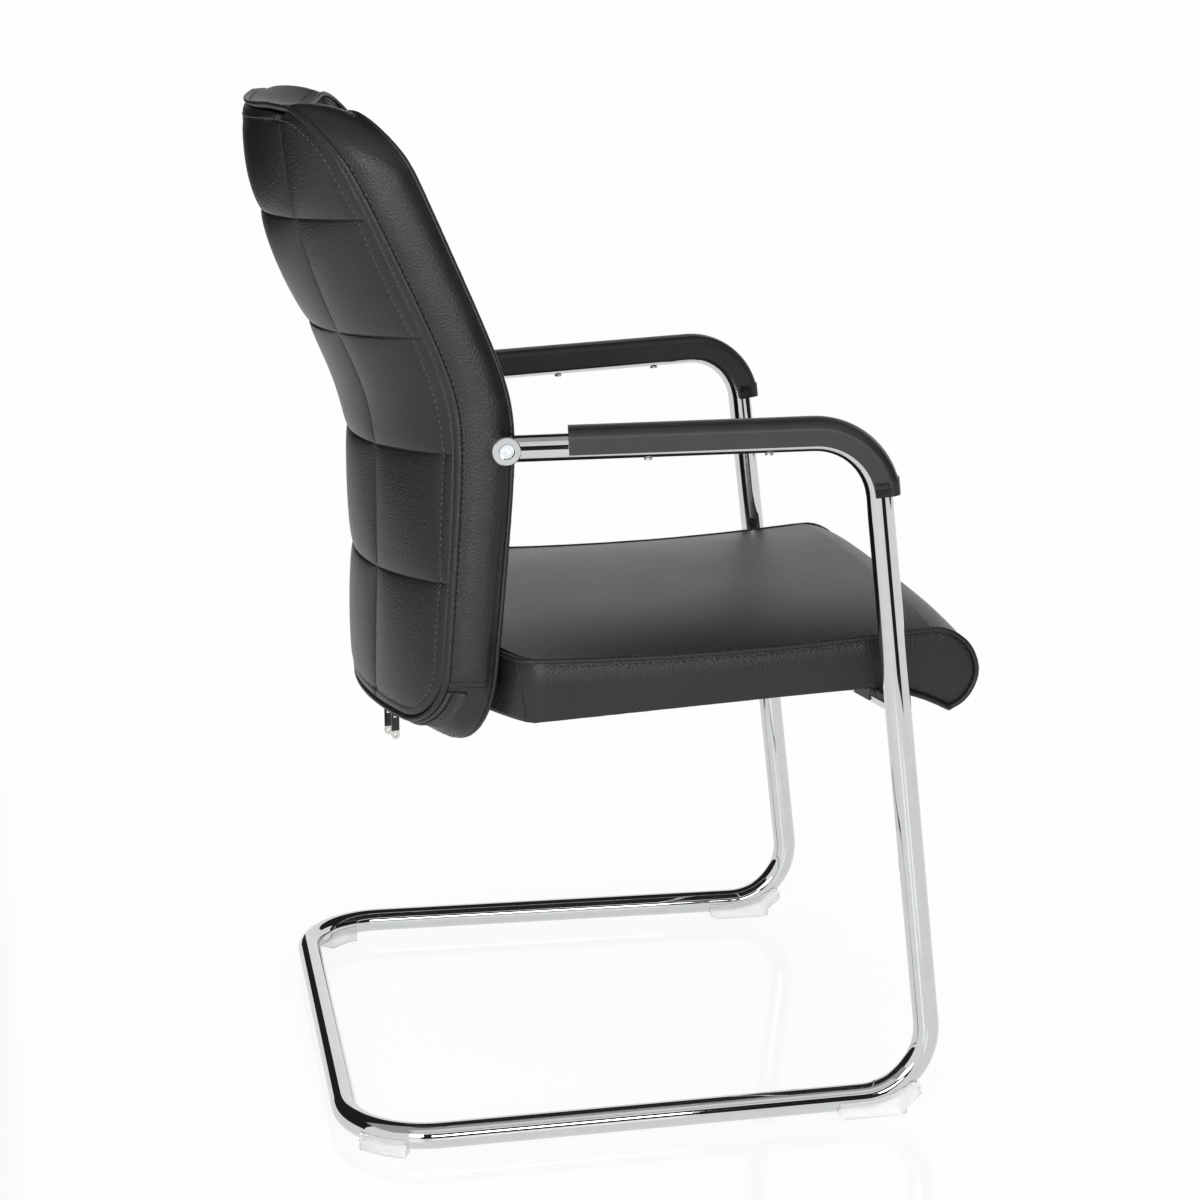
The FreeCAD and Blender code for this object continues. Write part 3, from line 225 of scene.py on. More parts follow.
zinc_plate = grained_finish(
    "bright_zinc_plated_steel",
    shades=("#c6c9cb", "#dadcde"),
    patch_mm=9,
    gloss=(0.2, 0.34),
    grain_mm=0.7,
    depth_mm=0.02,
    Metallic=1.0,
)
powder_coat = grained_finish(
    "black_powder_coat_on_steel",
    shades=("#161617", "#202021"),
    patch_mm=30,
    gloss=(0.42, 0.55),
    grain_mm=1.4,
    depth_mm=0.05,
)

# %% [markdown]
# ### Plastics, plywood and cloth
#
# The arm pads are black self-skinned polyurethane foam: a satin skin with a fine even pore. The
# glides are clear moulded nylon, of which a white floor leaves little more than faint edges. The
# hidden boards are birch plywood, the cloth under the seat is spunbonded polypropylene, dotted
# where the rollers welded its fibres, and the zip runs in a woven polyester tape.

# %% Plastics, plywood and cloth finishes
pad_skin = grained_finish(
    "self_skinned_polyurethane_foam",
    shades=("#19191b", "#212123"),
    patch_mm=45,
    gloss=(0.36, 0.46),
    grain_mm=1.2,
    depth_mm=0.05,
)
clear_nylon = grained_finish(
    "clear_moulded_nylon",
    shades=("#f6f7f6", "#fdfdfd"),
    patch_mm=20,
    gloss=(0.2, 0.3),
    grain_mm=2.5,
    depth_mm=0.03,
    Transmission_Weight=0.7,
    IOR=1.2,
)
spunbond = grained_finish(
    "spunbonded_polypropylene_cloth",
    shades=("#171718", "#222224"),
    patch_mm=8,
    gloss=(0.8, 0.95),
    grain_mm=1.5,
    depth_mm=0.2,
    cells=True,
)


def banded_finish(name, shades, band_mm, direction, gloss, depth_mm, distortion, **shader):
    """A finish with bands across one direction, such as a weave's rows or a board's plies."""
    material, tree, principled, place = new_finish(name, **shader)
    scale = math.pi / 10 / (band_mm * MM)
    settings = {"bands_direction": direction, "Scale": scale, "Distortion": distortion}
    bands = add_node(tree, "ShaderNodeTexWave", settings, {"Vector": place})
    two_shades(tree, principled, bands.outputs["Fac"], *shades)
    uneven_gloss(tree, principled, bands.outputs["Fac"], *gloss)
    dented(tree, principled, bands.outputs["Fac"], depth_mm)
    return material


plywood = banded_finish("birch_plywood", ("#b5935f", "#cfb184"), 3.0, "Z", (0.5, 0.65), 0.1, 2.5)
zip_tape = banded_finish("woven_polyester_tape", ("#1d1d1f", "#303033"), 1.2, "X", (0.55, 0.7), 0.15, 0.4)
zip_coil = banded_finish("moulded_nylon_zip_coil", ("#2a2a2c", "#444447"), 1.6, "X", (0.3, 0.4), 0.1, 0.2)

# %% [markdown]
# ### Zip metal
#
# The sliders and pulls are die-cast zinc, lacquered black. At the foot of each pull the lacquer is
# left off a round end that stays bright nickel, so the finish changes metal at one height.

# %% Zip metal finish
PULL_BRIGHT_BELOW_Z = 0.3645
PULL_BRIGHT_BLEND = 0.0002
LACQUER_PER_M = 900.0
zip_metal, zip_tree, zip_shader, zip_place = new_finish("black_lacquer_and_bright_nickel_zip_metal")
height = add_node(zip_tree, "ShaderNodeSeparateXYZ", links={"Vector": zip_place}).outputs["Z"]
edge = {
    "From Min": PULL_BRIGHT_BELOW_Z - PULL_BRIGHT_BLEND,
    "From Max": PULL_BRIGHT_BELOW_Z + PULL_BRIGHT_BLEND,
    "To Min": 1.0,
    "To Max": 0.0,
}
bright = add_node(zip_tree, "ShaderNodeMapRange", edge, {"Value": height}).outputs["Result"]
zip_tree.links.new(bright, zip_shader.inputs["Metallic"])
two_shades(zip_tree, zip_shader, bright, "#161617", "#dcdbd6")
wear_settings = {"Scale": LACQUER_PER_M, "Detail": 2.0}
lacquer_wear = add_node(zip_tree, "ShaderNodeTexNoise", wear_settings, {"Vector": zip_place})
uneven_gloss(zip_tree, zip_shader, lacquer_wear.outputs["Fac"], 0.14, 0.32)
dented(zip_tree, zip_shader, lacquer_wear.outputs["Fac"], 0.02)

# %% Finishes on the CAD nodes
NODE_FINISHES = (
    (chrome, ("sled_frame", "arm_eye_left", "arm_eye_right", "seat_cross_tube")),
    (clear_nylon, ("front_glide_left", "front_glide_right", "rear_glide_left", "rear_glide_right")),
    (pad_skin, ("arm_pad_left", "arm_pad_right", "seat_saddles")),
    (zinc_plate, ("arm_pad_screws", "arm_bolts", "arm_bolt_washers", "arm_bracket_screws")),
    (zinc_plate, ("seat_tube_bolts", "seat_tee_nuts", "back_bracket_bolts")),
    (powder_coat, ("arm_bracket_left", "arm_bracket_right", "back_bracket_left", "back_bracket_right")),
    (plywood, ("seat_board", "back_shell")),
    (zip_metal, ("zip_slider_left", "zip_slider_right", "zip_pull_left", "zip_pull_right")),
)
for finish, names in NODE_FINISHES:
    for name in names:
        nodes[name].data.materials.clear()
        nodes[name].data.materials.append(finish)
print("carried-over nodes with a finish", sum(len(names) for _, names in NODE_FINISHES))

# %% [markdown]
# ## The backrest's own geometry
#
# The backrest leans, turns at the lumbar height and wraps round the sitter. A few small functions
# describe it, as in the CAD source: where its front seam lies at each height, how deep its border
# is there, how far its middle bows behind its sides, and how its outline runs. One more says how
# the sewn cover strays from that drawn shape: the zip edge sags in front and the top corners are
# pulled round at the rear.

# %% Lines of the backrest, in millimetres
BACK_HALF = 212.0
BACK_BOTTOM_Z = 388.0
BACK_TOP_Z = 973.0
BACK_TOP_DIP = 13.0
TOP_CORNER = 55.0
BOTTOM_CORNER = 60.0
LUMBAR_Y = 100.73
LUMBAR_Z = 700.0
MEAN_SLOPE = 0.175
TURN_SLOPE = 0.28
TURN_BLEND = 45.0
BORDER_LOW = 42.0
BORDER_TOP = 54.0
SHELL_FRONT = 16.0
SHELL_REAR = 26.0
SHELL_GAP = 0.5
SEAMS = ((388.0, 60.0), (532.5, 70.0), (655.0, 81.0), (764.0, 96.0), (871.5, 88.0), (973.0, 52.0))


def front_seam_y(z):
    """Side line of the front seam: two leans blended at the lumbar height."""
    above = z - LUMBAR_Z
    return LUMBAR_Y + MEAN_SLOPE * above + TURN_SLOPE * math.sqrt(above**2 + TURN_BLEND**2)


def border_depth(z):
    share = (z - BACK_BOTTOM_Z) / (BACK_TOP_Z - BACK_BOTTOM_Z)
    return BORDER_LOW + (BORDER_TOP - BORDER_LOW) * share


def plan_bow(z):
    """How far the middle lies behind the sides, smooth through the seams' heights."""
    heights = [seam[0] for seam in SEAMS]
    bows = [seam[1] for seam in SEAMS]
    last = len(SEAMS) - 1
    slopes = []
    for index in range(last + 1):
        before, after = max(index - 1, 0), min(index + 1, last)
        slopes.append((bows[after] - bows[before]) / (heights[after] - heights[before]))
    z = min(max(z, heights[0]), heights[last])
    index = min(max(step for step in range(last + 1) if heights[step] <= z), last - 1)
    run = heights[index + 1] - heights[index]
    share = (z - heights[index]) / run
    start = bows[index] * (1 + 2 * share) + slopes[index] * run * share
    end = bows[index + 1] * (3 - 2 * share) - slopes[index + 1] * run * (1 - share)
    return start * (1 - share) ** 2 + end * share**2


def layer_y(x, z, offset):
    """A surface that lies offset behind the front seams."""
    bow = plan_bow(z)
    radius = (BACK_HALF**2 + bow**2) / (2 * bow)
    return front_seam_y(z) + bow - radius + math.sqrt(max(radius**2 - x**2, 0)) + offset


def top_z(x, inset):
    """Top edge of the backrest's outline: it dips in the middle and turns down at the corners."""
    straight = BACK_HALF - TOP_CORNER
    radius = TOP_CORNER - inset
    if abs(x) <= straight:
        return BACK_TOP_Z - inset - BACK_TOP_DIP * (1 - (x / straight) ** 2)
    return BACK_TOP_Z - TOP_CORNER + math.sqrt(max(radius**2 - (abs(x) - straight) ** 2, 0))


def half_width(z, inset):
    """Half the backrest's width at height z, inside its rounded corners."""
    top = (TOP_CORNER, z - BACK_TOP_Z + TOP_CORNER)
    bottom = (BOTTOM_CORNER, BACK_BOTTOM_Z + BOTTOM_CORNER - z)
    for radius, above in (top, bottom):
        if above > 0:
            return BACK_HALF - radius + math.sqrt(max((radius - inset) ** 2 - above**2, 0))
    return BACK_HALF - inset


def eased(value):
    """0 below 0, 1 above 1, and a smooth step between."""
    value = min(max(value, 0.0), 1.0)
    return value * value * (3 - 2 * value)


# How far the cover strays, and from where and over what length the stray grows.
REAR_CORNER_PULL = 9.0
PULL_INWARDS, PULL_DOWN = 0.7, 0.75
PULL_FROM_X, PULL_OVER_X = 95.0, 95.0
PULL_FROM_Z, PULL_OVER_Z = 868.0, 90.0
BOTTOM_SINK = 21.0
SINK_BELOW_Z, SINK_OVER_Z = 462.0, 74.0
TOP_SINK = 8.0
REAR_TOP_RISE = 6.0
TOP_FROM_Z = 895.0
TOP_SINK_OVER_Z = 75.0
TOP_RISE_OVER_Z = 60.0


def sewn_place(x, z, share):
    """Where the cover lies, share of the way back: rounder top corners, a lower bottom in front."""
    pull = REAR_CORNER_PULL * share**2 * eased((abs(x) - PULL_FROM_X) / PULL_OVER_X)
    pull *= eased((z - PULL_FROM_Z) / PULL_OVER_Z)
    sink = BOTTOM_SINK * (1 - min(share, 1.0)) ** 2 * eased((SINK_BELOW_Z - z) / SINK_OVER_Z)
    sink += TOP_SINK * (1 - min(share, 1.0) ** 2) * eased((z - TOP_FROM_Z) / TOP_SINK_OVER_Z)
    rise = REAR_TOP_RISE * share**2 * max(0.0, 1 - (x / (BACK_HALF - TOP_CORNER)) ** 2)
    rise *= eased((z - TOP_FROM_Z) / TOP_RISE_OVER_Z)
    return x - math.copysign(PULL_INWARDS * pull, x), z - PULL_DOWN * pull - sink + rise


print("bow in the middle of the back", round(plan_bow(700.0), 1))

# %% [markdown]
# ## Blocks, blown up like cushions
#
# A stuffed pad starts as a flat grid that is extruded into a closed block. Its cells are packed
# tightly beside each seam, where the cover folds, and lie wide in the middle, where it is smooth.
# Code then lays the block on the chair: the underside against the board, the top where the cover
# is. Cloth simulation with pressure inside blows the cover up between the seams, which are held,
# because that is what stuffing does and it leaves the small pulls that a drawn curve never has.
# Only a share of that move is taken, because the photographed cover is drawn tight.


# %% Helpers that make and shape a block
def deselect():
    if bpy.context.object and bpy.context.object.mode != "OBJECT":
        bpy.ops.object.mode_set(mode="OBJECT")
    bpy.ops.object.select_all(action="DESELECT")


def pick(piece):
    """Leaves this piece alone selected and active."""
    deselect()
    piece.select_set(True)
    bpy.context.view_layer.objects.active = piece


def flat_grid(name, columns, rows):
    """A flat grid two units wide, whose vertices code then lays out."""
    deselect()
    bpy.ops.mesh.primitive_grid_add(x_subdivisions=columns, y_subdivisions=rows, size=2.0)
    grid = bpy.context.active_object
    grid.name = grid.data.name = name
    return grid


def face_outwards():
    """Points the faces of the active piece outwards."""
    bpy.ops.object.mode_set(mode="EDIT")
    bpy.ops.mesh.select_all(action="SELECT")
    bpy.ops.mesh.normals_make_consistent(inside=False)
    bpy.ops.object.mode_set(mode="OBJECT")


def walled(sheet, thickness_mm, offset):
    """Gives a sheet its thickness: offset 0 is half to each side, -1 is all of it inside."""
    wall = sheet.modifiers.new("wall", "SOLIDIFY")
    wall.thickness = thickness_mm * MM
    wall.offset = offset
    bpy.ops.object.modifier_apply(modifier=wall.name)


def packed_stops(marks, pitch, beside=(0.0, 0.7, 2.0, 4.2)):
    """Places along a line, close together beside each mark and a pitch apart between them."""
    stops = []
    for low, high in zip(marks, marks[1:]):
        inner_low, inner_high = low + beside[-1], high - beside[-1]
        count = max(1, round((inner_high - inner_low) / pitch))
        stops += [low + step for step in beside[:-1]]
        stops += [inner_low + (inner_high - inner_low) * index / count for index in range(count + 1)]
        stops += [high - step for step in beside[-2:0:-1]]
    return stops + [marks[-1]]


def closed_block(name, across, along, layers):
    """Closed block of cells, one stop of across or along to each line of vertices."""
    block = flat_grid(name, len(across) - 1, len(along) - 1)
    bpy.ops.object.mode_set(mode="EDIT")
    bpy.ops.mesh.select_all(action="SELECT")
    for _ in range(layers):
        bpy.ops.mesh.extrude_region_move(TRANSFORM_OT_translate={"value": (0, 0, 1)})
    bpy.ops.mesh.select_all(action="SELECT")
    bpy.ops.mesh.normals_make_consistent(inside=False)
    bpy.ops.object.mode_set(mode="OBJECT")
    return block


def block_indices(block, across, along):
    """Column, row and layer of each vertex, read from the block's even start."""
    columns, rows = len(across) - 1, len(along) - 1
    found = []
    for vertex in block.data.vertices:
        x, y, z = vertex.co
        found.append((round((x + 1) / 2 * columns), round((y + 1) / 2 * rows), round(z)))
    return found


def lay_out(block, places):
    """Puts every vertex at its place, given in millimetres, and points the faces outwards."""
    for vertex, place in zip(block.data.vertices, places):
        vertex.co = Vector(place) * MM
    pick(block)
    face_outwards()


AIR_PRESSURE = 4.0
AIR_FRAMES = 20


def blow_up(block, held, slack, cap_mm, taken):
    """Cloth simulation with air inside: held vertices stay, the rest take a share of their move."""
    pick(block)
    before = [vertex.co.copy() for vertex in block.data.vertices]
    group = block.vertex_groups.new(name="held")
    group.add([index for index, is_held in enumerate(held) if is_held], 1.0, "REPLACE")
    modifier = block.modifiers.new("air", "CLOTH")
    cloth = modifier.settings
    cloth.vertex_group_mass = "held"
    cloth.use_pressure = True
    cloth.uniform_pressure_force = AIR_PRESSURE
    cloth.shrink_min = -slack
    cloth.effector_weights.gravity = 0.0
    cloth.quality = 5
    cloth.bending_stiffness = 2.0
    modifier.point_cache.frame_start = 1
    modifier.point_cache.frame_end = AIR_FRAMES
    for step in range(1, AIR_FRAMES + 1):
        bpy.context.scene.frame_set(step)
    bpy.ops.object.modifier_apply(modifier=modifier.name)
    bpy.context.scene.frame_set(1)
    block.vertex_groups.clear()
    furthest = 0.0
    for vertex, old, is_held in zip(block.data.vertices, before, held):
        moved = vertex.co - old
        furthest = max(furthest, moved.length)
        if is_held:
            vertex.co = old
        else:
            vertex.co = old + moved * min(taken, cap_mm * MM / max(moved.length, 1e-9))
    print(block.name, "vertices", len(before), "furthest move in mm", round(furthest / MM, 1))


def sewn_smooth(block, creased, finish, crease=0.5):
    """One subdivision that keeps a fold along the seams, smooth shading and a finish."""
    pick(block)
    mesh = block.data
    creases = mesh.attributes.new("crease_edge", "FLOAT", "EDGE")
    for edge in mesh.edges:
        if creased[edge.vertices[0]] and creased[edge.vertices[1]]:
            creases.data[edge.index].value = crease
    subdivide = block.modifiers.new("subdivide", "SUBSURF")
    subdivide.levels = subdivide.render_levels = 1
    bpy.ops.object.modifier_apply(modifier=subdivide.name)
    bpy.ops.object.shade_smooth()
    mesh.materials.clear()
    mesh.materials.append(finish)
    triangles = sum(len(face.vertices) - 2 for face in block.data.polygons)
    print(block.name, "triangles", triangles)


def on_chair(piece, slot, *stands_for):
    """The piece rides on the chair and stands for these nodes, which it hides. The slot is not used."""
    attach(piece, CHAIR)
    if stands_for:
        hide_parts(*stands_for)


# %% [markdown]
# ## Quilted rear pad
#
# The back of the chair is one sheet of leatherette and wadding, sewn through in four level seams
# and two upright ones, so that fifteen panels swell between them. The level seams drop towards
# the middle, because the sheet is pulled round the bow of the shell, and the upright ones spread
# towards the top. Beside every seam the cover is gathered a little by the stitches, and a noise
# pattern along the seam gives those puckers.

# %% Where the quilted cover lies
PAD_INSET = 5.3
PAD_LOW_Z = BACK_BOTTOM_Z + PAD_INSET
PAD_HIGH_Z = BACK_TOP_Z - PAD_INSET
PUFF_MIDDLE = 7.5
PUFF_SIDE = 6.5
PUFF_FULLNESS = 0.38
SEAM_LIFT = 0.6
SEAM_DROP = 0.12
COLUMN_HALF = 110.0
SQUEEZE_FROM = 150.0
quilt_columns = [-BACK_HALF + PAD_INSET, -COLUMN_HALF, COLUMN_HALF, BACK_HALF - PAD_INSET]
quilt_rows = [PAD_LOW_Z] + [seam[0] for seam in SEAMS[1:-1]] + [PAD_HIGH_Z]


def share_between(value, marks):
    """Number of the cell that holds the value, and how far through the cell it lies."""
    for index, (low, high) in enumerate(zip(marks, marks[1:])):
        if value <= high or index == len(marks) - 2:
            return index, min(max((value - low) / (high - low), 0.0), 1.0)


def squeezed_x(x, z, inner, inset):
    """x with the part beyond inner squeezed to fit the rounded outline at height z."""
    full = BACK_HALF - inset
    if abs(x) <= inner:
        return x
    reach = max(half_width(z, inset) - inner, 0.5)
    return math.copysign(inner + (abs(x) - inner) * reach / (full - inner), x)


def edge_fitted_z(x, z):
    """z with the top rows bent to the dipping top edge of the outline."""
    start = SEAMS[-2][0]
    if z <= start:
        return z
    straight = BACK_HALF - TOP_CORNER
    dip = BACK_TOP_DIP * max(0.0, 1 - (x / straight) ** 2)
    return z - dip * ((z - start) / (PAD_HIGH_Z - start)) ** 2


def seam_fade(z):
    """1 between the first and the last seam, 0 at the bottom and top edges."""
    low = min(1.0, max(0.0, (z - PAD_LOW_Z) / (SEAMS[1][0] - PAD_LOW_Z)))
    high = min(1.0, max(0.0, (PAD_HIGH_Z - z) / (PAD_HIGH_Z - SEAMS[-2][0])))
    return min(low, high)


def quilt_puff(x, z):
    """How far the cover stands off its seams at a nominal place."""
    column, over = share_between(x, quilt_columns)
    row, up = share_between(z, quilt_rows)
    swell = (math.sin(math.pi * over) * math.sin(math.pi * up)) ** PUFF_FULLNESS
    full = PUFF_MIDDLE if column == 1 else PUFF_SIDE
    return SEAM_LIFT + (full - SEAM_LIFT) * swell


# Height, and how far from the middle the upright seams run there.
COLUMN_LINE = (
    (388.0, 88.0),
    (540.0, 92.0),
    (655.0, 96.0),
    (764.0, 102.0),
    (871.5, 117.0),
    (973.0, 138.0),
)


def tapered_x(x, z):
    """x with the upright seams moved to where they run at height z: wider apart towards the top."""
    for (low, low_x), (high, high_x) in zip(COLUMN_LINE, COLUMN_LINE[1:]):
        if z <= high:
            break
    seam_x = low_x + (high_x - low_x) * (z - low) / (high - low)
    if abs(x) <= COLUMN_HALF:
        return x * seam_x / COLUMN_HALF
    edge = BACK_HALF - PAD_INSET
    return math.copysign(seam_x + (abs(x) - COLUMN_HALF) * (edge - seam_x) / (edge - COLUMN_HALF), x)


def quilt_cover(x_nominal, z_nominal, lift):
    """Place of the rear cover, with its level seams dropping towards the middle."""
    z = edge_fitted_z(x_nominal, z_nominal)
    x = squeezed_x(tapered_x(x_nominal, z), z, SQUEEZE_FROM, PAD_INSET)
    side_y = layer_y(BACK_HALF, z_nominal, border_depth(z_nominal))
    drop = SEAM_DROP * seam_fade(z_nominal)
    level = z
    for _ in range(5):
        y = layer_y(x, level, border_depth(level)) + lift
        level = z - drop * (y - side_y)
    x, level = sewn_place(x, level, 1.0)
    return x, y, level


def depth_inside(x, z):
    """How far a place lies inside the backrest's rounded outline."""
    top = (1, TOP_CORNER, BACK_TOP_Z - TOP_CORNER)
    bottom = (-1, BOTTOM_CORNER, BACK_BOTTOM_Z + BOTTOM_CORNER)
    for side, corner, corner_z in (top, bottom):
        past_x, past_z = abs(x) - BACK_HALF + corner, side * (z - corner_z)
        if past_x > 0 and past_z > 0:
            return corner - math.hypot(past_x, past_z)
    edge_z = top_z(min(abs(x), BACK_HALF - TOP_CORNER), 0.0)
    return min(BACK_HALF - abs(x), edge_z - z, z - BACK_BOTTOM_Z)


# %% Make the quilted pad
QUILT_PITCH = 6.5
QUILT_BESIDE = (0.0, 1.2, 2.8)
RIM_LIFT = 1.2
QUILT_BEFORE_AIR = 0.9
EDGE_ROW_INSET = 14.0
EDGE_ROW_WANDER = 1.5
row_x = BACK_HALF - EDGE_ROW_INSET + EDGE_ROW_WANDER
row_low, row_high = BACK_BOTTOM_Z + EDGE_ROW_INSET, BACK_TOP_Z - EDGE_ROW_INSET
marks_across = [quilt_columns[0], -row_x, *quilt_columns[1:3], row_x, quilt_columns[3]]
marks_along = [quilt_rows[0], row_low, *quilt_rows[1:-1], row_high, quilt_rows[-1]]
across = packed_stops(marks_across, QUILT_PITCH, QUILT_BESIDE)
along = packed_stops(marks_along, QUILT_PITCH, QUILT_BESIDE)
quilt = closed_block("quilted_back", across, along, 1)
indices = block_indices(quilt, across, along)
places, held, sewn = [], [], []
for column, row, layer in indices:
    x, z = across[column], along[row]
    on_seam = x in quilt_columns or z in quilt_rows
    if layer == 1:
        rim = x in (across[0], across[-1]) or z in (along[0], along[-1])
        places.append(quilt_cover(x, z, RIM_LIFT if rim else QUILT_BEFORE_AIR * quilt_puff(x, z)))
    else:
        flat_z = edge_fitted_z(x, z)
        flat_x = squeezed_x(tapered_x(x, flat_z), flat_z, SQUEEZE_FROM, PAD_INSET)
        places.append((flat_x, layer_y(flat_x, flat_z, SHELL_REAR + SHELL_GAP), flat_z))
    held.append(layer == 0 or on_seam)
    sewn.append(layer == 1 and on_seam)
lay_out(quilt, places)
blow_up(quilt, held, slack=0.0, cap_mm=4.0, taken=0.35)

# %% Puckers beside the seams of the quilt, and the groove of its edge stitching
PUCKER_REACH = 11.0
PUCKER_PITCH = 9.0
PUCKER_DEPTH = 0.3
EDGE_ROW_GROOVE = 1.3
EDGE_ROW_WIDTH = 2.2
for vertex, (column, row, layer), on_seam in zip(quilt.data.vertices, indices, sewn):
    if layer == 0:
        continue
    x, z = across[column], along[row]
    beside_row = min(abs(z - mark) for mark in quilt_rows)
    beside_column = min(abs(x - mark) for mark in quilt_columns)
    pull = 0.0
    for gap, run in ((beside_row, x), (beside_column, z)):
        if 0.5 < gap < PUCKER_REACH:
            wave = noise.noise(Vector((run / PUCKER_PITCH, 7.3 * (gap == beside_row), 1.7)))
            pull += wave * math.sin(math.pi * gap / PUCKER_REACH)
    from_row = depth_inside(vertex.co.x / MM, vertex.co.z / MM) - EDGE_ROW_INSET
    groove = math.exp(-((from_row / EDGE_ROW_WIDTH) ** 2))
    vertex.co.y += (PUCKER_DEPTH * pull - EDGE_ROW_GROOVE * groove) * MM
sewn_smooth(quilt, sewn, leatherette, crease=0.7)
on_chair(quilt, "black_leatherette", "quilted_back_pad")

# %% [markdown]
# ## Front pads
#
# Three loose-filled pads face the sitter: a flat one low down, a lumbar roll, and a head pillow
# whose ends are gathered into pleats where they are sewn into the side seam. They are blocks too,
# with the stuffing fullest in the middle.


# %% Make the three front pads
PAD_SIDE_REACH = 36.0
PAD_BEFORE_AIR = 0.8
PLEAT_REACH = 62.0
PLEAT_PITCH = 15.0
PLEAT_DEPTH = 3.6
PILLOW_PITCHES = (5.0, 4.5)
PAD_PITCHES = (7.0, 7.0)


def front_swell(x, z, low, high, puff):
    """How far a front pad stands out: rounded at the sides and towards both seams."""
    side = max(0.0, 1 - (BACK_HALF - PAD_INSET - abs(x)) / PAD_SIDE_REACH)
    level = abs(2 * (z - low) / (high - low) - 1)
    swell = math.sqrt(max(0.0, 1 - side**2.2)) * (1 - level**3.2) ** 0.6
    return 1.0 + (puff - 1.0) * swell


def pleats(x, z, low, high):
    """Folds that fan in from the gathered ends of the head pillow."""
    from_end = BACK_HALF - PAD_INSET - abs(x)
    if from_end > PLEAT_REACH:
        return 0.0
    fade = (1 - from_end / PLEAT_REACH) ** 1.3 * min(1.0, from_end / 6.0)
    middle = (low + high) / 2
    spread = (z - middle) / (1 + from_end / 90.0)
    wander = 5.0 * noise.noise(Vector((from_end / 40.0, spread / 30.0, math.copysign(3.0, x))))
    return PLEAT_DEPTH * fade * math.sin((spread + wander) / PLEAT_PITCH * math.pi)


for name, node, low, high, puff in (
    ("lower_front_cushion", "lower_front_pad", 393.6, 524.9, 6.0),
    ("lumbar_roll", "lumbar_pad", 525.1, 751.9, 13.5),
    ("head_pillow_stuffed", "head_pillow", 752.1, 967.0, 18.5),
):
    gathered = node == "head_pillow"
    pitch_across, pitch_along = PILLOW_PITCHES if gathered else PAD_PITCHES
    across = packed_stops([-BACK_HALF + PAD_INSET, 0.0, BACK_HALF - PAD_INSET], pitch_across)
    along = packed_stops([low, high], pitch_along)
    pad = closed_block(name, across, along, 1)
    indices = block_indices(pad, across, along)
    places, held, sewn = [], [], []
    for column, row, layer in indices:
        z = edge_fitted_z(across[column], along[row])
        x = squeezed_x(across[column], z, SQUEEZE_FROM, PAD_INSET)
        rim = column in (0, len(across) - 1) or row in (0, len(along) - 1)
        if layer == 0:
            out = -SHELL_FRONT + SHELL_GAP
        elif rim:
            out = 0.0
        else:
            out = PAD_BEFORE_AIR * front_swell(across[column], along[row], low, high, puff)
        y = layer_y(x, z, 0.0) - out
        x, z = sewn_place(x, z, 0.0 if layer else SHELL_FRONT / border_depth(z))
        places.append((x, y, z))
        held.append(layer == 0 or rim)
        sewn.append(layer == 1 and rim)
    lay_out(pad, places)
    blow_up(pad, held, slack=0.03, cap_mm=6.0, taken=0.45)
    if gathered:
        for vertex, (column, row, layer) in zip(pad.data.vertices, indices):
            if layer == 1:
                vertex.co.y -= pleats(across[column], along[row], low, high) * MM
    sewn_smooth(pad, sewn, leatherette)
    on_chair(pad, "black_leatherette", node)

# %% [markdown]
# ## Seat cushion
#
# A slab of foam on a bent board, boxed in: one top panel that rolls over the front edge and tucks
# under, and a strip round the sides and the back. The block follows the side outline of the seat,
# with a crown across it. Its underside is hollowed out for the board, so nothing sits in anything.
# The CAD source draws the chair from its rear crossbar, so its lengths in Y are moved as there.

# %% Side outline of the seat, in millimetres
DRAWN_TO_MODEL_Y = 278.23
SEAT_HALF = 237.0
SEAT_REAR_MID_Y = -113.0 + DRAWN_TO_MODEL_Y
SEAT_REAR_SIDE_Y = -180.0 + DRAWN_TO_MODEL_Y
SEAT_REAR_Z = 463.0
SEAT_SAG_Z = 463.5
SEAT_NOSE = (-568.0 + DRAWN_TO_MODEL_Y, 476.5)
SEAT_FRONT = (-615.0 + DRAWN_TO_MODEL_Y, 429.0)
SEAT_LIP = (-590.0 + DRAWN_TO_MODEL_Y, 396.0)
SEAT_TUCK = (-579.0 + DRAWN_TO_MODEL_Y, 398.6)
SEAT_BEND = (-520.0 + DRAWN_TO_MODEL_Y, 420.3)
BOARD_FRONT_Y = -597.0 + DRAWN_TO_MODEL_Y
UNDER_REAR_Z = 401.5
SEAT_CROWN = 12.0
REAR_CORNER = 16.0
REAR_CORNER_SLANT = 0.45
# Shares of the front and of the underside at which one arc takes over from the other.
FRONT_SPLIT = 0.62
UNDER_SPLIT = 0.8


def seat_rear_y(x):
    """Rear edge of the seat in plan: a wide arc with small round corners."""
    bow = SEAT_REAR_MID_Y - SEAT_REAR_SIDE_Y
    radius = (SEAT_HALF**2 + bow**2) / (2 * bow)
    inner = min(abs(x), SEAT_HALF - REAR_CORNER)
    y = SEAT_REAR_MID_Y - radius + math.sqrt(radius**2 - inner**2)
    past = abs(x) - (SEAT_HALF - REAR_CORNER)
    if past > 0:
        y -= REAR_CORNER - math.sqrt(max(REAR_CORNER**2 - past**2, 0)) + REAR_CORNER_SLANT * past
    return y


def under_z(y):
    """Underside of the seat behind its front bend."""
    share = (y - SEAT_BEND[0]) / (SEAT_REAR_SIDE_Y - SEAT_BEND[0])
    return SEAT_BEND[1] + (UNDER_REAR_Z - SEAT_BEND[1]) * share


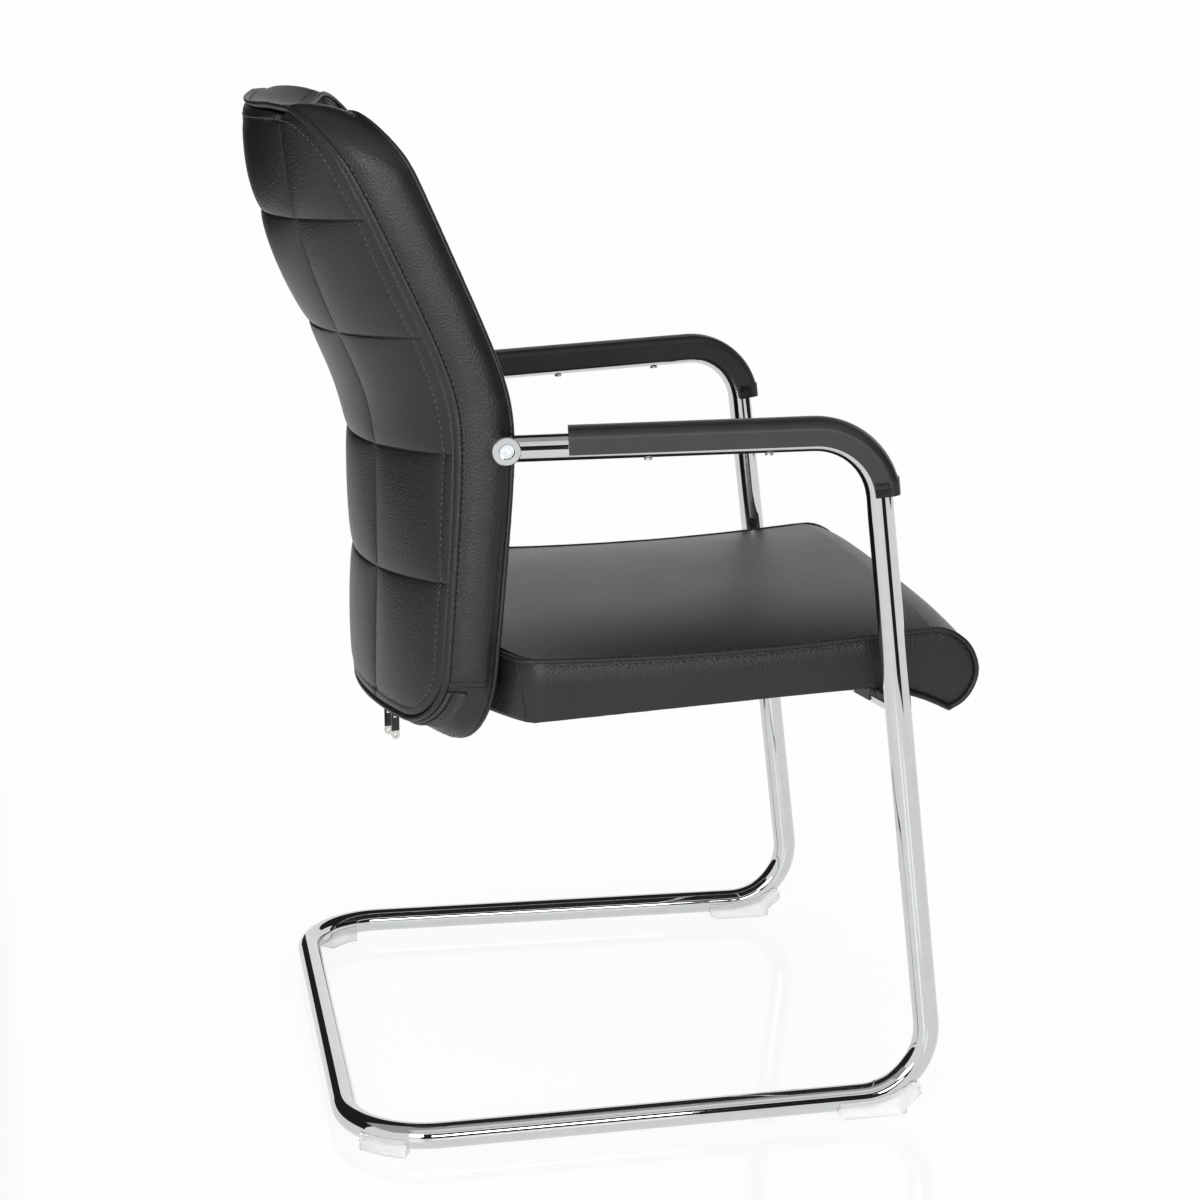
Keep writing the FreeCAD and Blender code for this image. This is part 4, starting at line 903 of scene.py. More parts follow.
def arc_through(first, middle, last, share):
    """Point on the circle through three points of a side view, a share of the way along."""
    (ax, ay), (bx, by), (cx, cy) = first, middle, last
    twice = 2 * (ax * (by - cy) + bx * (cy - ay) + cx * (ay - by))
    squares = [x * x + y * y for x, y in (first, middle, last)]
    ux = (squares[0] * (by - cy) + squares[1] * (cy - ay) + squares[2] * (ay - by)) / twice
    uy = (squares[0] * (cx - bx) + squares[1] * (ax - cx) + squares[2] * (bx - ax)) / twice
    start, via, end = (math.atan2(y - uy, x - ux) for x, y in (first, middle, last))
    turn = (end - start) % (2 * math.pi)
    if (via - start) % (2 * math.pi) > turn:
        turn -= 2 * math.pi
    radius = math.hypot(ax - ux, ay - uy)
    angle = start + turn * share
    return ux + radius * math.cos(angle), uy + radius * math.sin(angle)


def crown(x):
    """Rise of the top panel across the seat."""
    return SEAT_CROWN * (1 - (abs(x) / SEAT_HALF) ** 3.4)


def seat_top(x, share):
    """Top line from the rear edge to the nose."""
    rise = crown(x)
    rear = (seat_rear_y(x), SEAT_REAR_Z + 0.75 * rise)
    sag = ((SEAT_REAR_SIDE_Y + SEAT_NOSE[0]) / 2, SEAT_SAG_Z + 1.3 * rise)
    nose = (SEAT_NOSE[0] - 0.2 * rise, SEAT_NOSE[1] + 0.75 * rise)
    return arc_through(rear, sag, nose, share)


def seat_front(x, share):
    """Front line from the nose, over the roll, to the lip."""
    rise = crown(x)
    nose = (SEAT_NOSE[0] - 0.2 * rise, SEAT_NOSE[1] + 0.75 * rise)
    front = (SEAT_FRONT[0] - 0.25 * rise, SEAT_FRONT[1])
    shoulder = (nose[0] + (front[0] - nose[0]) * 0.74, front[1] + (nose[1] - front[1]) * 0.7)
    chin = (SEAT_FRONT[0] - 0.1 * rise + 8.5, SEAT_LIP[1] + 10.5)
    if share < FRONT_SPLIT:
        return arc_through(nose, shoulder, front, share / FRONT_SPLIT)
    return arc_through(front, chin, SEAT_LIP, (share - FRONT_SPLIT) / (1 - FRONT_SPLIT))


UNDER_MIDDLE = ((SEAT_TUCK[0] + SEAT_BEND[0]) / 2, (SEAT_TUCK[1] + SEAT_BEND[1]) / 2 + 3.5)


def seat_under(share):
    """Underside from the rear to the lip."""
    if share < UNDER_SPLIT:
        y = SEAT_REAR_SIDE_Y + (SEAT_BEND[0] - SEAT_REAR_SIDE_Y) * share / UNDER_SPLIT
        return y, under_z(y)
    return arc_through(SEAT_BEND, UNDER_MIDDLE, SEAT_TUCK, (share - UNDER_SPLIT) / (1 - UNDER_SPLIT))


print("seat depth at the side", round(SEAT_REAR_SIDE_Y - SEAT_FRONT[0], 1))

# %% Lay out and blow up the seat block
SEAT_LAYERS = 8
SEAT_PITCH = 8.0
BOARD_T = 12.0
BOARD_INSET = 7.0
BOARD_CLEAR = 1.8
# The flat bars between seat and backrest: room above the board, reach from the rear, and place.
BAR_CLEAR = 9.0
BAR_REACH = 60.0
BAR_FROM_X, BAR_TO_X = 15.0, 85.0
BOXING_SWELL = 3.6
CROWN_BEFORE_AIR = 0.85
across = packed_stops([-SEAT_HALF, SEAT_HALF], SEAT_PITCH)
top_run = SEAT_REAR_SIDE_Y - SEAT_NOSE[0]
along = packed_stops([0.0, top_run], SEAT_PITCH)
seat = closed_block("seat_cushion_stuffed", across, along, SEAT_LAYERS)
indices = block_indices(seat, across, along)


def seat_place(x, row, layer):
    """Place of a block vertex: the corners of the block become the corners of the side outline."""
    over = along[row] / top_run
    up = layer / SEAT_LAYERS
    top, rear_top = seat_top(x, over), seat_top(x, 0.0)
    low_rear = (seat_rear_y(x), under_z(seat_rear_y(x)))
    under = seat_under(over)
    shift = (seat_rear_y(x) - SEAT_REAR_SIDE_Y) * (1 - over)
    under = (under[0] + shift, under_z(under[0] + shift) if over < UNDER_SPLIT else under[1])
    front = seat_front(x, 1 - up)
    rear = (seat_rear_y(x), low_rear[1] + (rear_top[1] - low_rear[1]) * up)
    place = []
    for axis in (0, 1):
        straight_rear = (1 - up) * low_rear[axis] + up * rear_top[axis]
        straight_front = (1 - up) * SEAT_TUCK[axis] + up * seat_top(x, 1.0)[axis]
        level = (1 - up) * under[axis] + up * top[axis]
        bulge = (1 - over) * (rear[axis] - straight_rear) + over**4 * (front[axis] - straight_front)
        place.append(level + bulge)
    return place


def board_space(x, y, z):
    """Lifts the underside inside its rim, so that the board and the flat bars have their room."""
    from_side = SEAT_HALF - abs(x)
    from_rear = seat_rear_y(x) - y
    from_front = y - BOARD_FRONT_Y
    if min(from_side, from_rear, from_front - 1.0) < BOARD_INSET - 0.4:
        return y, z
    lift = BOARD_T + BOARD_CLEAR
    if y > SEAT_REAR_SIDE_Y - BAR_REACH and BAR_FROM_X < abs(x) < BAR_TO_X:
        lift += BAR_CLEAR
    if y > SEAT_BEND[0]:
        return y, z + lift
    return y - 0.3 * lift, z + 0.95 * lift


places, held, sewn = [], [], []
for column, row, layer in indices:
    x = across[column]
    y, z = seat_place(x, row, layer)
    if layer == 0:
        y, z = board_space(x, y, z)
    if layer == SEAT_LAYERS:
        z -= (1 - CROWN_BEFORE_AIR) * crown(x)
    side = column in (0, len(across) - 1)
    seam = (side and layer in (0, SEAT_LAYERS)) or (row == 0 and layer in (0, SEAT_LAYERS))
    seam = seam or (side and row == len(along) - 1)
    swell = BOXING_SWELL * math.sin(math.pi * (layer / SEAT_LAYERS) ** 1.5)
    if side:
        fade = min(1.0, (len(along) - 1 - row) / 3)
        x += math.copysign(swell * fade, x)
    elif row == 0:
        past = max(0.0, (abs(x) - SEAT_HALF + REAR_CORNER) / REAR_CORNER)
        x += math.copysign(swell * past**1.5, x)
        y += swell * (1 - past**3)
    places.append((x, y, z))
    held.append(layer == 0 or seam or (side and row == 0))
    sewn.append(seam)
lay_out(seat, places)
blow_up(seat, held, slack=0.0, cap_mm=4.0, taken=0.12)
sewn_smooth(seat, sewn, leatherette)
on_chair(seat, "black_leatherette", "seat_cushion")

# %% [markdown]
# ## Border, piping and stitches
#
# The border is a strip of the same leatherette that runs once round the backrest. It is made from
# a flat grid rolled round the outline: one direction of the grid goes round, the other goes from
# the front seam to the back seam and folds in there. Piping is a cord in a strip of cover, so it
# is a round tube along the seam. A stitch is one short pill of thread, copied along each row.


# %% Helpers for strips, tubes and stitches
def outline(inset, pitch):
    """Points and outward directions round the backrest's outline, from the bottom middle."""
    right = []
    low_straight, top_straight = BACK_HALF - BOTTOM_CORNER, BACK_HALF - TOP_CORNER
    count = round(low_straight / pitch)
    right += [(low_straight * step / count, BACK_BOTTOM_Z + inset, 0.0, -1.0) for step in range(count)]
    for radius, centre, start in (
        (BOTTOM_CORNER, (low_straight, BACK_BOTTOM_Z + BOTTOM_CORNER), -90),
        (TOP_CORNER, (top_straight, BACK_TOP_Z - TOP_CORNER), 0),
    ):
        count = round(radius * math.pi / 2 / pitch)
        for step in range(count):
            angle = math.radians(start + 90 * step / count)
            normal = (math.cos(angle), math.sin(angle))
            reach = radius - inset
            right.append((centre[0] + reach * normal[0], centre[1] + reach * normal[1], *normal))
        if start == -90:
            low, high = BACK_BOTTOM_Z + BOTTOM_CORNER, BACK_TOP_Z - TOP_CORNER
            count = round((high - low) / pitch)
            for step in range(count):
                right.append((BACK_HALF - inset, low + (high - low) * step / count, 1.0, 0.0))
    count = round(top_straight / pitch)
    for step in range(count + 1):
        x = top_straight * (1 - step / count)
        right.append((x, top_z(x, inset), 0.0, 1.0))
    left = [(-x, z, -nx, nz) for x, z, nx, nz in right[-2:0:-1]]
    return right + left


def rolled_strip(name, rounds, profile, place, thickness_mm, finish):
    """Closed strip: a grid rolled round a path, with a wall put on inside it."""
    strip = flat_grid(name, rounds, profile)
    for vertex in strip.data.vertices:
        go_round = round((vertex.co.x + 1) / 2 * rounds) % rounds
        over = round((vertex.co.y + 1) / 2 * profile)
        vertex.co = Vector(place(go_round, over)) * MM
    bpy.ops.object.mode_set(mode="EDIT")
    bpy.ops.mesh.select_all(action="SELECT")
    bpy.ops.mesh.remove_doubles(threshold=1e-6)
    bpy.ops.mesh.normals_make_consistent(inside=False)
    bpy.ops.object.mode_set(mode="OBJECT")
    walled(strip, thickness_mm, -1.0)
    smooth = strip.modifiers.new("smooth", "SUBSURF")
    smooth.levels = smooth.render_levels = 1
    bpy.ops.object.modifier_apply(modifier=smooth.name)
    bpy.ops.object.shade_smooth()
    strip.data.materials.append(finish)
    print(name, "faces", len(strip.data.polygons))
    return strip


CORD_DENT = 0.2
CORD_DENT_PITCH = 5.0


def corded_tube(name, points, diameter, finish, closed=False):
    """Round tube along a smooth line, its skin slightly puckered by the stitches beside it."""
    curve = bpy.data.curves.new(name, "CURVE")
    curve.dimensions = "3D"
    spline = curve.splines.new("NURBS")
    spline.points.add(len(points) - 1)
    for control, point in zip(spline.points, points):
        control.co = (*(Vector(point) * MM), 1.0)
    spline.order_u = 4
    spline.use_cyclic_u = closed
    spline.use_endpoint_u = not closed
    spline.resolution_u = 3
    curve.bevel_depth = diameter / 2 * MM
    curve.bevel_resolution = 3
    curve.use_fill_caps = True
    tube = bpy.data.objects.new(name, curve)
    bpy.context.scene.collection.objects.link(tube)
    pick(tube)
    bpy.ops.object.convert(target="MESH")
    tube = bpy.context.active_object
    for vertex in tube.data.vertices:
        dent = noise.noise(vertex.co / (CORD_DENT_PITCH * MM))
        vertex.co += vertex.normal * dent * CORD_DENT * MM
    bpy.ops.object.shade_smooth()
    tube.data.materials.append(finish)
    return tube


deselect()
bpy.ops.mesh.primitive_uv_sphere_add(segments=6, ring_count=5, radius=1.0)
stitch_model = bpy.context.active_object
bpy.ops.transform.rotate(value=math.radians(90), orient_axis="Y", center_override=(0, 0, 0))
bpy.ops.object.transform_apply(location=True, rotation=True, scale=True)
pill_points = [vertex.co.copy() for vertex in stitch_model.data.vertices]
pill_faces = [tuple(face.vertices) for face in stitch_model.data.polygons]
bpy.data.objects.remove(stitch_model)
STITCH_PITCH = 6.5
STITCH_LENGTH = 3.9
STITCH_THICK = 0.95
STITCH_LEAN = 0.12


def stitched_row(name, rows, finish, pitch=STITCH_PITCH, length=STITCH_LENGTH, thick=STITCH_THICK):
    """Copies of one stitch along lines of (point, outward direction), half sunk in the cover."""
    points, faces = [], []
    for line in rows:
        travelled = 0.0
        due = pitch / 2
        for (start, up), (end, _) in zip(line, line[1:]):
            run = (end - start).length
            while due <= travelled + run and run > 0:
                at = start.lerp(end, (due - travelled) / run)
                forward = (end - start).normalized()
                side = up.cross(forward).normalized()
                lean = STITCH_LEAN * noise.noise(at / 3.0)
                forward = (forward + side * lean).normalized()
                base = len(points)
                for pill in pill_points:
                    offset = forward * pill.x * length / 2 + side * pill.y * thick / 2
                    points.append((at + offset + up * pill.z * thick / 2) * MM)
                faces += [tuple(base + corner for corner in face) for face in pill_faces]
                due += pitch
            travelled += run
    mesh = bpy.data.meshes.new(name)
    mesh.from_pydata(points, [], faces)
    piece = bpy.data.objects.new(name, mesh)
    bpy.context.scene.collection.objects.link(piece)
    pick(piece)
    bpy.ops.object.shade_smooth()
    mesh.materials.append(finish)
    on_chair(piece, "black_leatherette")
    print(name, "stitches", len(faces) // len(pill_faces))
    return piece


# %% Border of the backrest
# Each step of the profile is (share of the depth, distance from the rear seam, distance outwards).
BORDER_PROFILE = (
    (0.0, -2.6, -3.0),
    (0.0, -1.6, -1.5),
    (0.0, 0.0, -0.7),
    (0.0, 3.0, 0.0),
    (0.0, 6.5, 1.6),
    (0.25, 0.0, 4.1),
    (0.5, 0.0, 5.7),
    (0.75, 0.0, 4.5),
    (1.0, -8.0, 2.3),
    (1.0, -5.0, 0.7),
    (1.0, -3.7, -0.7),
    (1.0, -2.6, 0.5),
    (1.0, -0.8, 1.3),
    (1.0, 1.3, 1.0),
    (1.0, 2.4, -0.4),
    (1.0, 2.0, -2.4),
    (1.0, 0.4, -4.6),
    (1.0, -3.0, -5.8),
)
BORDER_PITCH = 6.0
BORDER_T = 2.2
BORDER_PUCKER = 0.4
ZIP_END_Z = 432.0
# Below the zip's ends, these steps of the profile lie flat under the tape, this far out.
UNDER_TAPE = {5: 2.2, 6: 0.9, 7: 0.9, 8: 0.9}
border_ring = outline(0.0, BORDER_PITCH)


def border_place(go_round, over):
    """Point of the border: round the outline, and from the front seam to the rear one."""
    x, z, nx, nz = border_ring[go_round]
    share, past, out = BORDER_PROFILE[over]
    depth = border_depth(z) * share + past
    under_tape = 1 - eased((z - ZIP_END_Z) / 8)
    out -= under_tape * max(0.0, out - UNDER_TAPE.get(over, out))
    pucker = 0.0
    if 0 < over < len(BORDER_PROFILE) - 3:
        pucker = BORDER_PUCKER * noise.noise(Vector((x / 14.0, z / 14.0, depth / 16.0)))
    x, z = x + nx * (out + pucker), z + nz * (out + pucker)
    y = layer_y(x, z, depth)
    x, z = sewn_place(x, z, max(depth, 0.0) / border_depth(z))
    return x, y, z


border = rolled_strip(
    "border_strip", len(border_ring), len(BORDER_PROFILE) - 1, border_place, BORDER_T, leatherette
)
on_chair(border, "black_leatherette", "back_border")

# %% Piping of the backrest and of the seat
PIPING_D = 5.0
PIPING_AHEAD = 4.3
PIPING_PITCH = 12.0
piping_line = []
for x, z, _, _ in outline(PIPING_D / 2, PIPING_PITCH):
    y = layer_y(x, z, -PIPING_AHEAD)
    x, z = sewn_place(x, z, 0.0)
    piping_line.append((x, y, z))
back_cord = corded_tube("back_piping_cord", piping_line, PIPING_D, leatherette, closed=True)
on_chair(back_cord, "black_leatherette", "back_piping")

SEAT_CORD_X = SEAT_HALF + PIPING_D / 2 + 0.1
SEAT_CORD_DROP = 1.4
# At the lip, the cord is tucked in and lifted by this much, which starts at a height above it.
LIP_TUCK_X, LIP_TUCK_Y, LIP_TUCK_Z = 0.5, 1.3, 1.9
LIP_TUCK_BELOW_Z, LIP_TUCK_OVER_Z = SEAT_FRONT[1] + 6.0, 18.0
# Shares of the seat's depth between which the cord follows the bottom edge.
UNDER_CORD_FROM, UNDER_CORD_TO = 0.84, 0.995
seat_side = []
for row, run in enumerate(along):
    if UNDER_CORD_FROM < run / top_run < UNDER_CORD_TO:
        seat_side.append(seat_place(SEAT_HALF, row, 0))
seat_side += [seat_front(SEAT_HALF, 1 - step / 16) for step in range(16)]
seat_side += [seat_top(SEAT_HALF, 1 - step / 8) for step in range(8)]
left_line = []
for y, z in seat_side:
    tucked = eased((LIP_TUCK_BELOW_Z - z) / LIP_TUCK_OVER_Z) if y < SEAT_LIP[0] + 1.0 else 0.0
    x = SEAT_CORD_X - LIP_TUCK_X * tucked
    left_line.append((x, y + LIP_TUCK_Y * tucked, z - SEAT_CORD_DROP + LIP_TUCK_Z * tucked))
cord_z = SEAT_REAR_Z - 1
corner_y = seat_rear_y(SEAT_HALF - REAR_CORNER) - REAR_CORNER
left_line.append((SEAT_CORD_X, corner_y - 6, cord_z))
reach = REAR_CORNER + PIPING_D / 2 + 1.0
for turn in (15, 40, 65):
    x = SEAT_HALF - REAR_CORNER + reach * math.cos(math.radians(turn))
    left_line.append((x, corner_y + reach * math.sin(math.radians(turn)), cord_z))
for x in (SEAT_HALF - 32, 165.0, 124.0, 84.0, 46.0, 15.0):
    left_line.append((x, seat_rear_y(x) + PIPING_D / 2 + 0.4, cord_z))
right_line = [(-x, y, z) for x, y, z in left_line[::-1]]
seat_cord = corded_tube("seat_piping_cord", left_line + right_line, PIPING_D, leatherette)
on_chair(seat_cord, "black_leatherette", "seat_piping")
print("piping done")

# %% [markdown]
# ## Zip
#
# The cover closes with a coil zip in the border's lower edge. Two strips of woven tape are sewn
# on the border, and the coil between them runs from the cross seam on one side, round both
# bottom corners, to the cross seam on the other. The tape is a grid rolled along that route, and
# a tooth of the coil is one pill, copied like a stitch.

# %% Tape and coil of the zip
ZIP_FROM_REAR = 9.0
ZIP_PITCH = 4.0
TAPE_T = 0.8
COIL_OUT = 2.9
zip_route = [point for point in outline(0.0, ZIP_PITCH) if point[1] < ZIP_END_Z]
turn_at = max(index for index, point in enumerate(zip_route) if point[0] > 0) + 1
zip_route = zip_route[turn_at:] + zip_route[:turn_at]


def zip_point(route_point, sideways, out):
    x, z, nx, nz = route_point
    x, z = x + nx * out, z + nz * out
    depth = border_depth(z) - ZIP_FROM_REAR + sideways
    y = layer_y(x, z, depth)
    x, z = sewn_place(x, z, depth / border_depth(z))
    return x, y, z


# Each step of the tape's profile is (distance from the coil towards the rear, distance outwards).
TAPE_PROFILE = (
    (-12.5, 0.6),
    (-11.6, 2.2),
    (-9.4, 2.6),
    (-8.0, 1.9),
    (-6.6, 2.1),
    (-3.4, 2.2),
    (-2.9, 1.4),
    (2.9, 1.4),
    (3.4, 2.2),
    (4.6, 1.9),
    (5.6, 2.0),
    (6.4, 0.8),
)
tape = flat_grid("zip_tape_strips", len(zip_route) - 1, len(TAPE_PROFILE) - 1)
for vertex in tape.data.vertices:
    step = round((vertex.co.x + 1) / 2 * (len(zip_route) - 1))
    over = round((vertex.co.y + 1) / 2 * (len(TAPE_PROFILE) - 1))
    vertex.co = Vector(zip_point(zip_route[step], *TAPE_PROFILE[over])) * MM
face_outwards()
walled(tape, TAPE_T, 0.0)
bpy.ops.object.shade_smooth()
tape.data.materials.append(zip_tape)
on_chair(tape, "zip_tape", "back_zip")

coil_line = []
for route_point in zip_route:
    out_direction = Vector((route_point[2], 0, route_point[3]))
    coil_line.append((Vector(zip_point(route_point, 0.0, COIL_OUT)), out_direction))
coil = stitched_row("zip_coil_teeth", [coil_line], zip_coil, pitch=1.9, length=1.3, thick=3.8)


# %% [markdown]
# ## Rows of stitches
#
# The stitch rows are laid on the finished covers: a ray is cast at the cover from outside, and the
# stitch goes where it lands, so the row follows every puff and pucker.


# %% Stitch rows on the quilt, the border and the seat
RAY_FROM = 40.0


def landed(piece, point, direction):
    """Place on the piece that a ray from outside meets first, in millimetres, and its normal."""
    origin = (Vector(point) - Vector(direction) * RAY_FROM) * MM
    hit, place, normal, _ = piece.ray_cast(origin, Vector(direction), distance=2 * RAY_FROM * MM)
    if not hit:
        return None
    return place / MM, normal


# Name, inset in the outline, piece, distance from the front seam (or, below 0, from the rear one).
ROW_PITCH = 4.0
# The panel row takes the thread painted grey for its highlight, and the seam rows take the thread painted
# dark for their shade.
for name, inset, piece, deep, finish in (
    ("panel_stitches", EDGE_ROW_INSET, quilt, None, thread_painted_highlight),
    ("rear_seam_stitches", 0.0, border, -3.7, thread_painted_shade),
    ("front_seam_stitches", 0.0, border, 5.0, thread_painted_shade),
):
    line = []
    for x, z, nx, nz in outline(inset, ROW_PITCH) + outline(inset, ROW_PITCH)[:1]:
        if deep is None:
            y = layer_y(x, z, border_depth(z))
            x, z = sewn_place(x, z, 1.0)
            line.append(landed(piece, (x, y, z), (0, -1, 0)))
        else:
            depth = deep if deep > 0 else border_depth(z) + deep
            y = layer_y(x, z, depth)
            x, z = sewn_place(x, z, depth / border_depth(z))
            line.append(landed(piece, (x, y, z), (-nx, 0, -nz)))
    stitched_row(name, [[item for item in line if item]], finish)

SEAT_ROW_DROP = 7.0
TOP_STEPS, FRONT_STEPS = 119, 14
# The row runs along the side panel's top and ends part of the way down its front.
FRONT_ROW_SHARE = 14 / 24
seat_rows = []
for side in (1, -1):
    line = []
    for step in range(TOP_STEPS + 1):
        y, z = seat_top(SEAT_HALF, step / TOP_STEPS)
        line.append(landed(seat, (side * SEAT_HALF, y, z - SEAT_ROW_DROP), (-side, 0, 0)))
    for step in range(FRONT_STEPS + 1):
        down = step / FRONT_STEPS
        y, z = seat_front(SEAT_HALF, FRONT_ROW_SHARE * down)
        z -= SEAT_ROW_DROP - 5.0 * down
        line.append(landed(seat, (side * SEAT_HALF, y + SEAT_ROW_DROP * down, z), (-side, 0, 0)))
    seat_rows.append([item for item in line if item])
# The seat's rows take the thread painted dark, a painted shade where it sinks into the seam.
stitched_row("seat_stitches", seat_rows, thread_painted_shade)

tape_rows = []
for sideways, out in ((-8.0, 2.2), (5.0, 2.2)):
    row = []
    for point in zip_route:
        row.append((Vector(zip_point(point, sideways, out)), Vector((point[2], 0, point[3]))))
    tape_rows.append(row)
# The zip tape's rows take the black thread painted grey, a painted highlight.
stitched_row("zip_tape_stitches", tape_rows, thread_painted_highlight, pitch=5.0, length=3.2)

# %% Folds where cover strips meet: beside the zip's ends and at the seat's rear corners
FOLD_D = 1.9
for side, side_name in ((1, "left"), (-1, "right")):
    for level, level_name in ((ZIP_END_Z + 5.5, "upper"), (ZIP_END_Z - 0.5, "lower")):
        low_x = half_width(level, 0.0)
        points = []
        for step in range(13):
            y = layer_y(low_x, level, 3.0 + (border_depth(level) - 7.5) * step / 12)
            found = landed(border, (side * low_x, y, level), (-side, 0, 0))
            if found:
                points.append(found[0])
        fold = corded_tube(f"zip_end_fold_{side_name}_{level_name}", points, FOLD_D, leatherette)
        on_chair(fold, "black_leatherette")
    points = []
    for step in range(15):
        share = step / 14
        y, z = SEAT_REAR_SIDE_Y + 10 - 7 * share, SEAT_REAR_Z - 3.5 - 55 * share
        found = landed(seat, (side * SEAT_HALF, y, z), (-side, 0, 0))
        if found:
            points.append(found[0])
    fold = corded_tube(f"seat_corner_fold_{side_name}", points, FOLD_D, leatherette)
    on_chair(fold, "black_leatherette")
print("folds done")

# %% [markdown]
# ## Hem and dust cover
#
# Under the seat, the cover is pulled round the board's edge and ends in a hem. A sheet of
# spunbonded cloth, cut a little smaller than the seat, hides the board and the hem's raw edge.
# Both are grids laid under the seat, the hem with its middle cut out.

# %% Hem of the seat's cover, pulled under the board
HEM_WIDTH = 34.0
HEM_INSET = 3.5
HEM_T = 1.0
HEM_DROP = 0.75
HEM_GATHER = 0.35
HEM_CELLS = 72
hem_front_y = SEAT_LIP[0] + 4.0


def seat_bottom(y, below):
    """Height of the seat's underside, or as far below it as asked."""
    if y > SEAT_BEND[0]:
        return under_z(y) - below
    share = (SEAT_BEND[0] - y) / (SEAT_BEND[0] - SEAT_TUCK[0])
    return arc_through(SEAT_BEND, UNDER_MIDDLE, SEAT_TUCK, min(share, 1.0))[1] - below


hem = flat_grid("seat_cover_hem", HEM_CELLS, HEM_CELLS)
for vertex in hem.data.vertices:
    x = vertex.co.x * (SEAT_HALF - HEM_INSET)
    rear = seat_rear_y(x) - HEM_INSET
    y = rear + (hem_front_y - rear) * (vertex.co.y + 1) / 2
    gather = noise.noise(Vector((x / 9.0, y / 9.0, 2.0)))
    vertex.co = Vector((x, y, seat_bottom(y, HEM_DROP + HEM_GATHER * gather))) * MM
bpy.ops.object.mode_set(mode="EDIT")
bpy.ops.mesh.select_mode(type="FACE")
bpy.ops.mesh.select_all(action="DESELECT")
bpy.ops.object.mode_set(mode="OBJECT")
for face in hem.data.polygons:
    x, y, _ = face.center / MM
    face.select = min(SEAT_HALF - abs(x), seat_rear_y(x) - y, y - hem_front_y) > HEM_WIDTH
bpy.ops.object.mode_set(mode="EDIT")
bpy.ops.mesh.delete(type="FACE")
bpy.ops.mesh.select_mode(type="VERT")
bpy.ops.object.mode_set(mode="OBJECT")
face_outwards()
walled(hem, HEM_T, 0.0)
bpy.ops.object.shade_smooth()
hem.data.materials.append(leatherette)
on_chair(hem, "black_leatherette")
print("hem faces", len(hem.data.polygons))

# %% Dust cover
DUST_HALF = 215.0
DUST_FROM_REAR = 22.0
DUST_FROM_FRONT = 15.0
DUST_T = 0.6
# How far the cloth hangs below the board: over the hem, and how much less inside it.
DUST_DROP = 1.9
DUST_LESS_DROP = 1.45
DUST_SLACK = 0.25
dust = flat_grid("dust_cloth", 44, 48)
dust_front_y = BOARD_FRONT_Y + DUST_FROM_FRONT
for vertex in dust.data.vertices:
    x = vertex.co.x * DUST_HALF
    share = (vertex.co.y + 1) / 2
    rear = seat_rear_y(x) - DUST_FROM_REAR
    y = rear + (dust_front_y - rear) * share
    from_edge = min(DUST_HALF - abs(x), rear - y, y - dust_front_y)
    slack = noise.noise(Vector((x / 60.0, y / 25.0, 4.0)))
    over_hem = DUST_DROP - DUST_LESS_DROP * eased((from_edge - 8.0) / 16.0)
    vertex.co = Vector((x, y, seat_bottom(y, over_hem - DUST_SLACK * slack))) * MM
face_outwards()
walled(dust, DUST_T, 0.0)
bpy.ops.object.shade_smooth()
dust.data.materials.append(spunbond)
on_chair(dust, "dust_cloth", "seat_dust_cover")

# %% [markdown]
# ## Floor, light and background
#
# The floor is white and so wide that it fills the view. Like the photographer's lit table it
# shines a little by itself, in what the camera, the chrome and the clear glides see of it, so it
# turns out white and still holds a weak shadow and a weak mirror image of the rails.
#
# Chrome and black leatherette show nothing but the room. A studio is a dark room with sheets of
# light in it, and its white backdrop stands only behind the object. So cards, most of them dark,
# stand outside the picture: the chrome gets its black lines from them, and the leatherette its
# depth. The cards glow at a set brightness, though they are no lamps: the black ones stand in for
# the dark room, and the grey one over the camera's side for a dim sheet of light overhead. They are
# hidden from the camera and from plain light, and show only as reflections.

# %% Floor
OWN_LIGHT = 0.92
MIRROR = 0.05
FLOOR_M = 240.0
floor_white, floor_tree, floor_shader, _ = new_finish(
    "white_lit_studio_table", Roughness=0.5, Specular_IOR_Level=0.0
)
floor_shader.inputs["Base Color"].default_value = hex_colour("#f8f8f8")
paths = add_node(floor_tree, "ShaderNodeLightPath").outputs
seen = add_node(floor_tree, "ShaderNodeMath", {"operation": "MAXIMUM"})
floor_tree.links.new(paths["Is Camera Ray"], seen.inputs[0])
floor_tree.links.new(paths["Is Glossy Ray"], seen.inputs[1])
shown = add_node(floor_tree, "ShaderNodeMath", {"operation": "MAXIMUM"})
floor_tree.links.new(seen.outputs["Value"], shown.inputs[0])
floor_tree.links.new(paths["Is Transmission Ray"], shown.inputs[1])
shown_part = {"Value": shown.outputs["Value"]}
share = add_node(floor_tree, "ShaderNodeMapRange", {"To Max": OWN_LIGHT}, shown_part)
glow = add_node(floor_tree, "ShaderNodeEmission", {"Color": hex_colour("#ffffff"), "Strength": 1.0})
lit = add_node(floor_tree, "ShaderNodeMixShader", links={"Fac": share.outputs["Result"]})
floor_tree.links.new(floor_shader.outputs["BSDF"], lit.inputs[1])
floor_tree.links.new(glow.outputs["Emission"], lit.inputs[2])
gloss = add_node(floor_tree, "ShaderNodeBsdfGlossy", {"Roughness": 0.08})
polished = add_node(floor_tree, "ShaderNodeMixShader", {"Fac": MIRROR})
floor_tree.links.new(lit.outputs["Shader"], polished.inputs[1])
floor_tree.links.new(gloss.outputs["BSDF"], polished.inputs[2])
floor_tree.links.new(polished.outputs["Shader"], floor_tree.nodes["Material Output"].inputs["Surface"])
deselect()
bpy.ops.mesh.primitive_grid_add(x_subdivisions=8, y_subdivisions=8, size=FLOOR_M)
floor = bpy.context.active_object
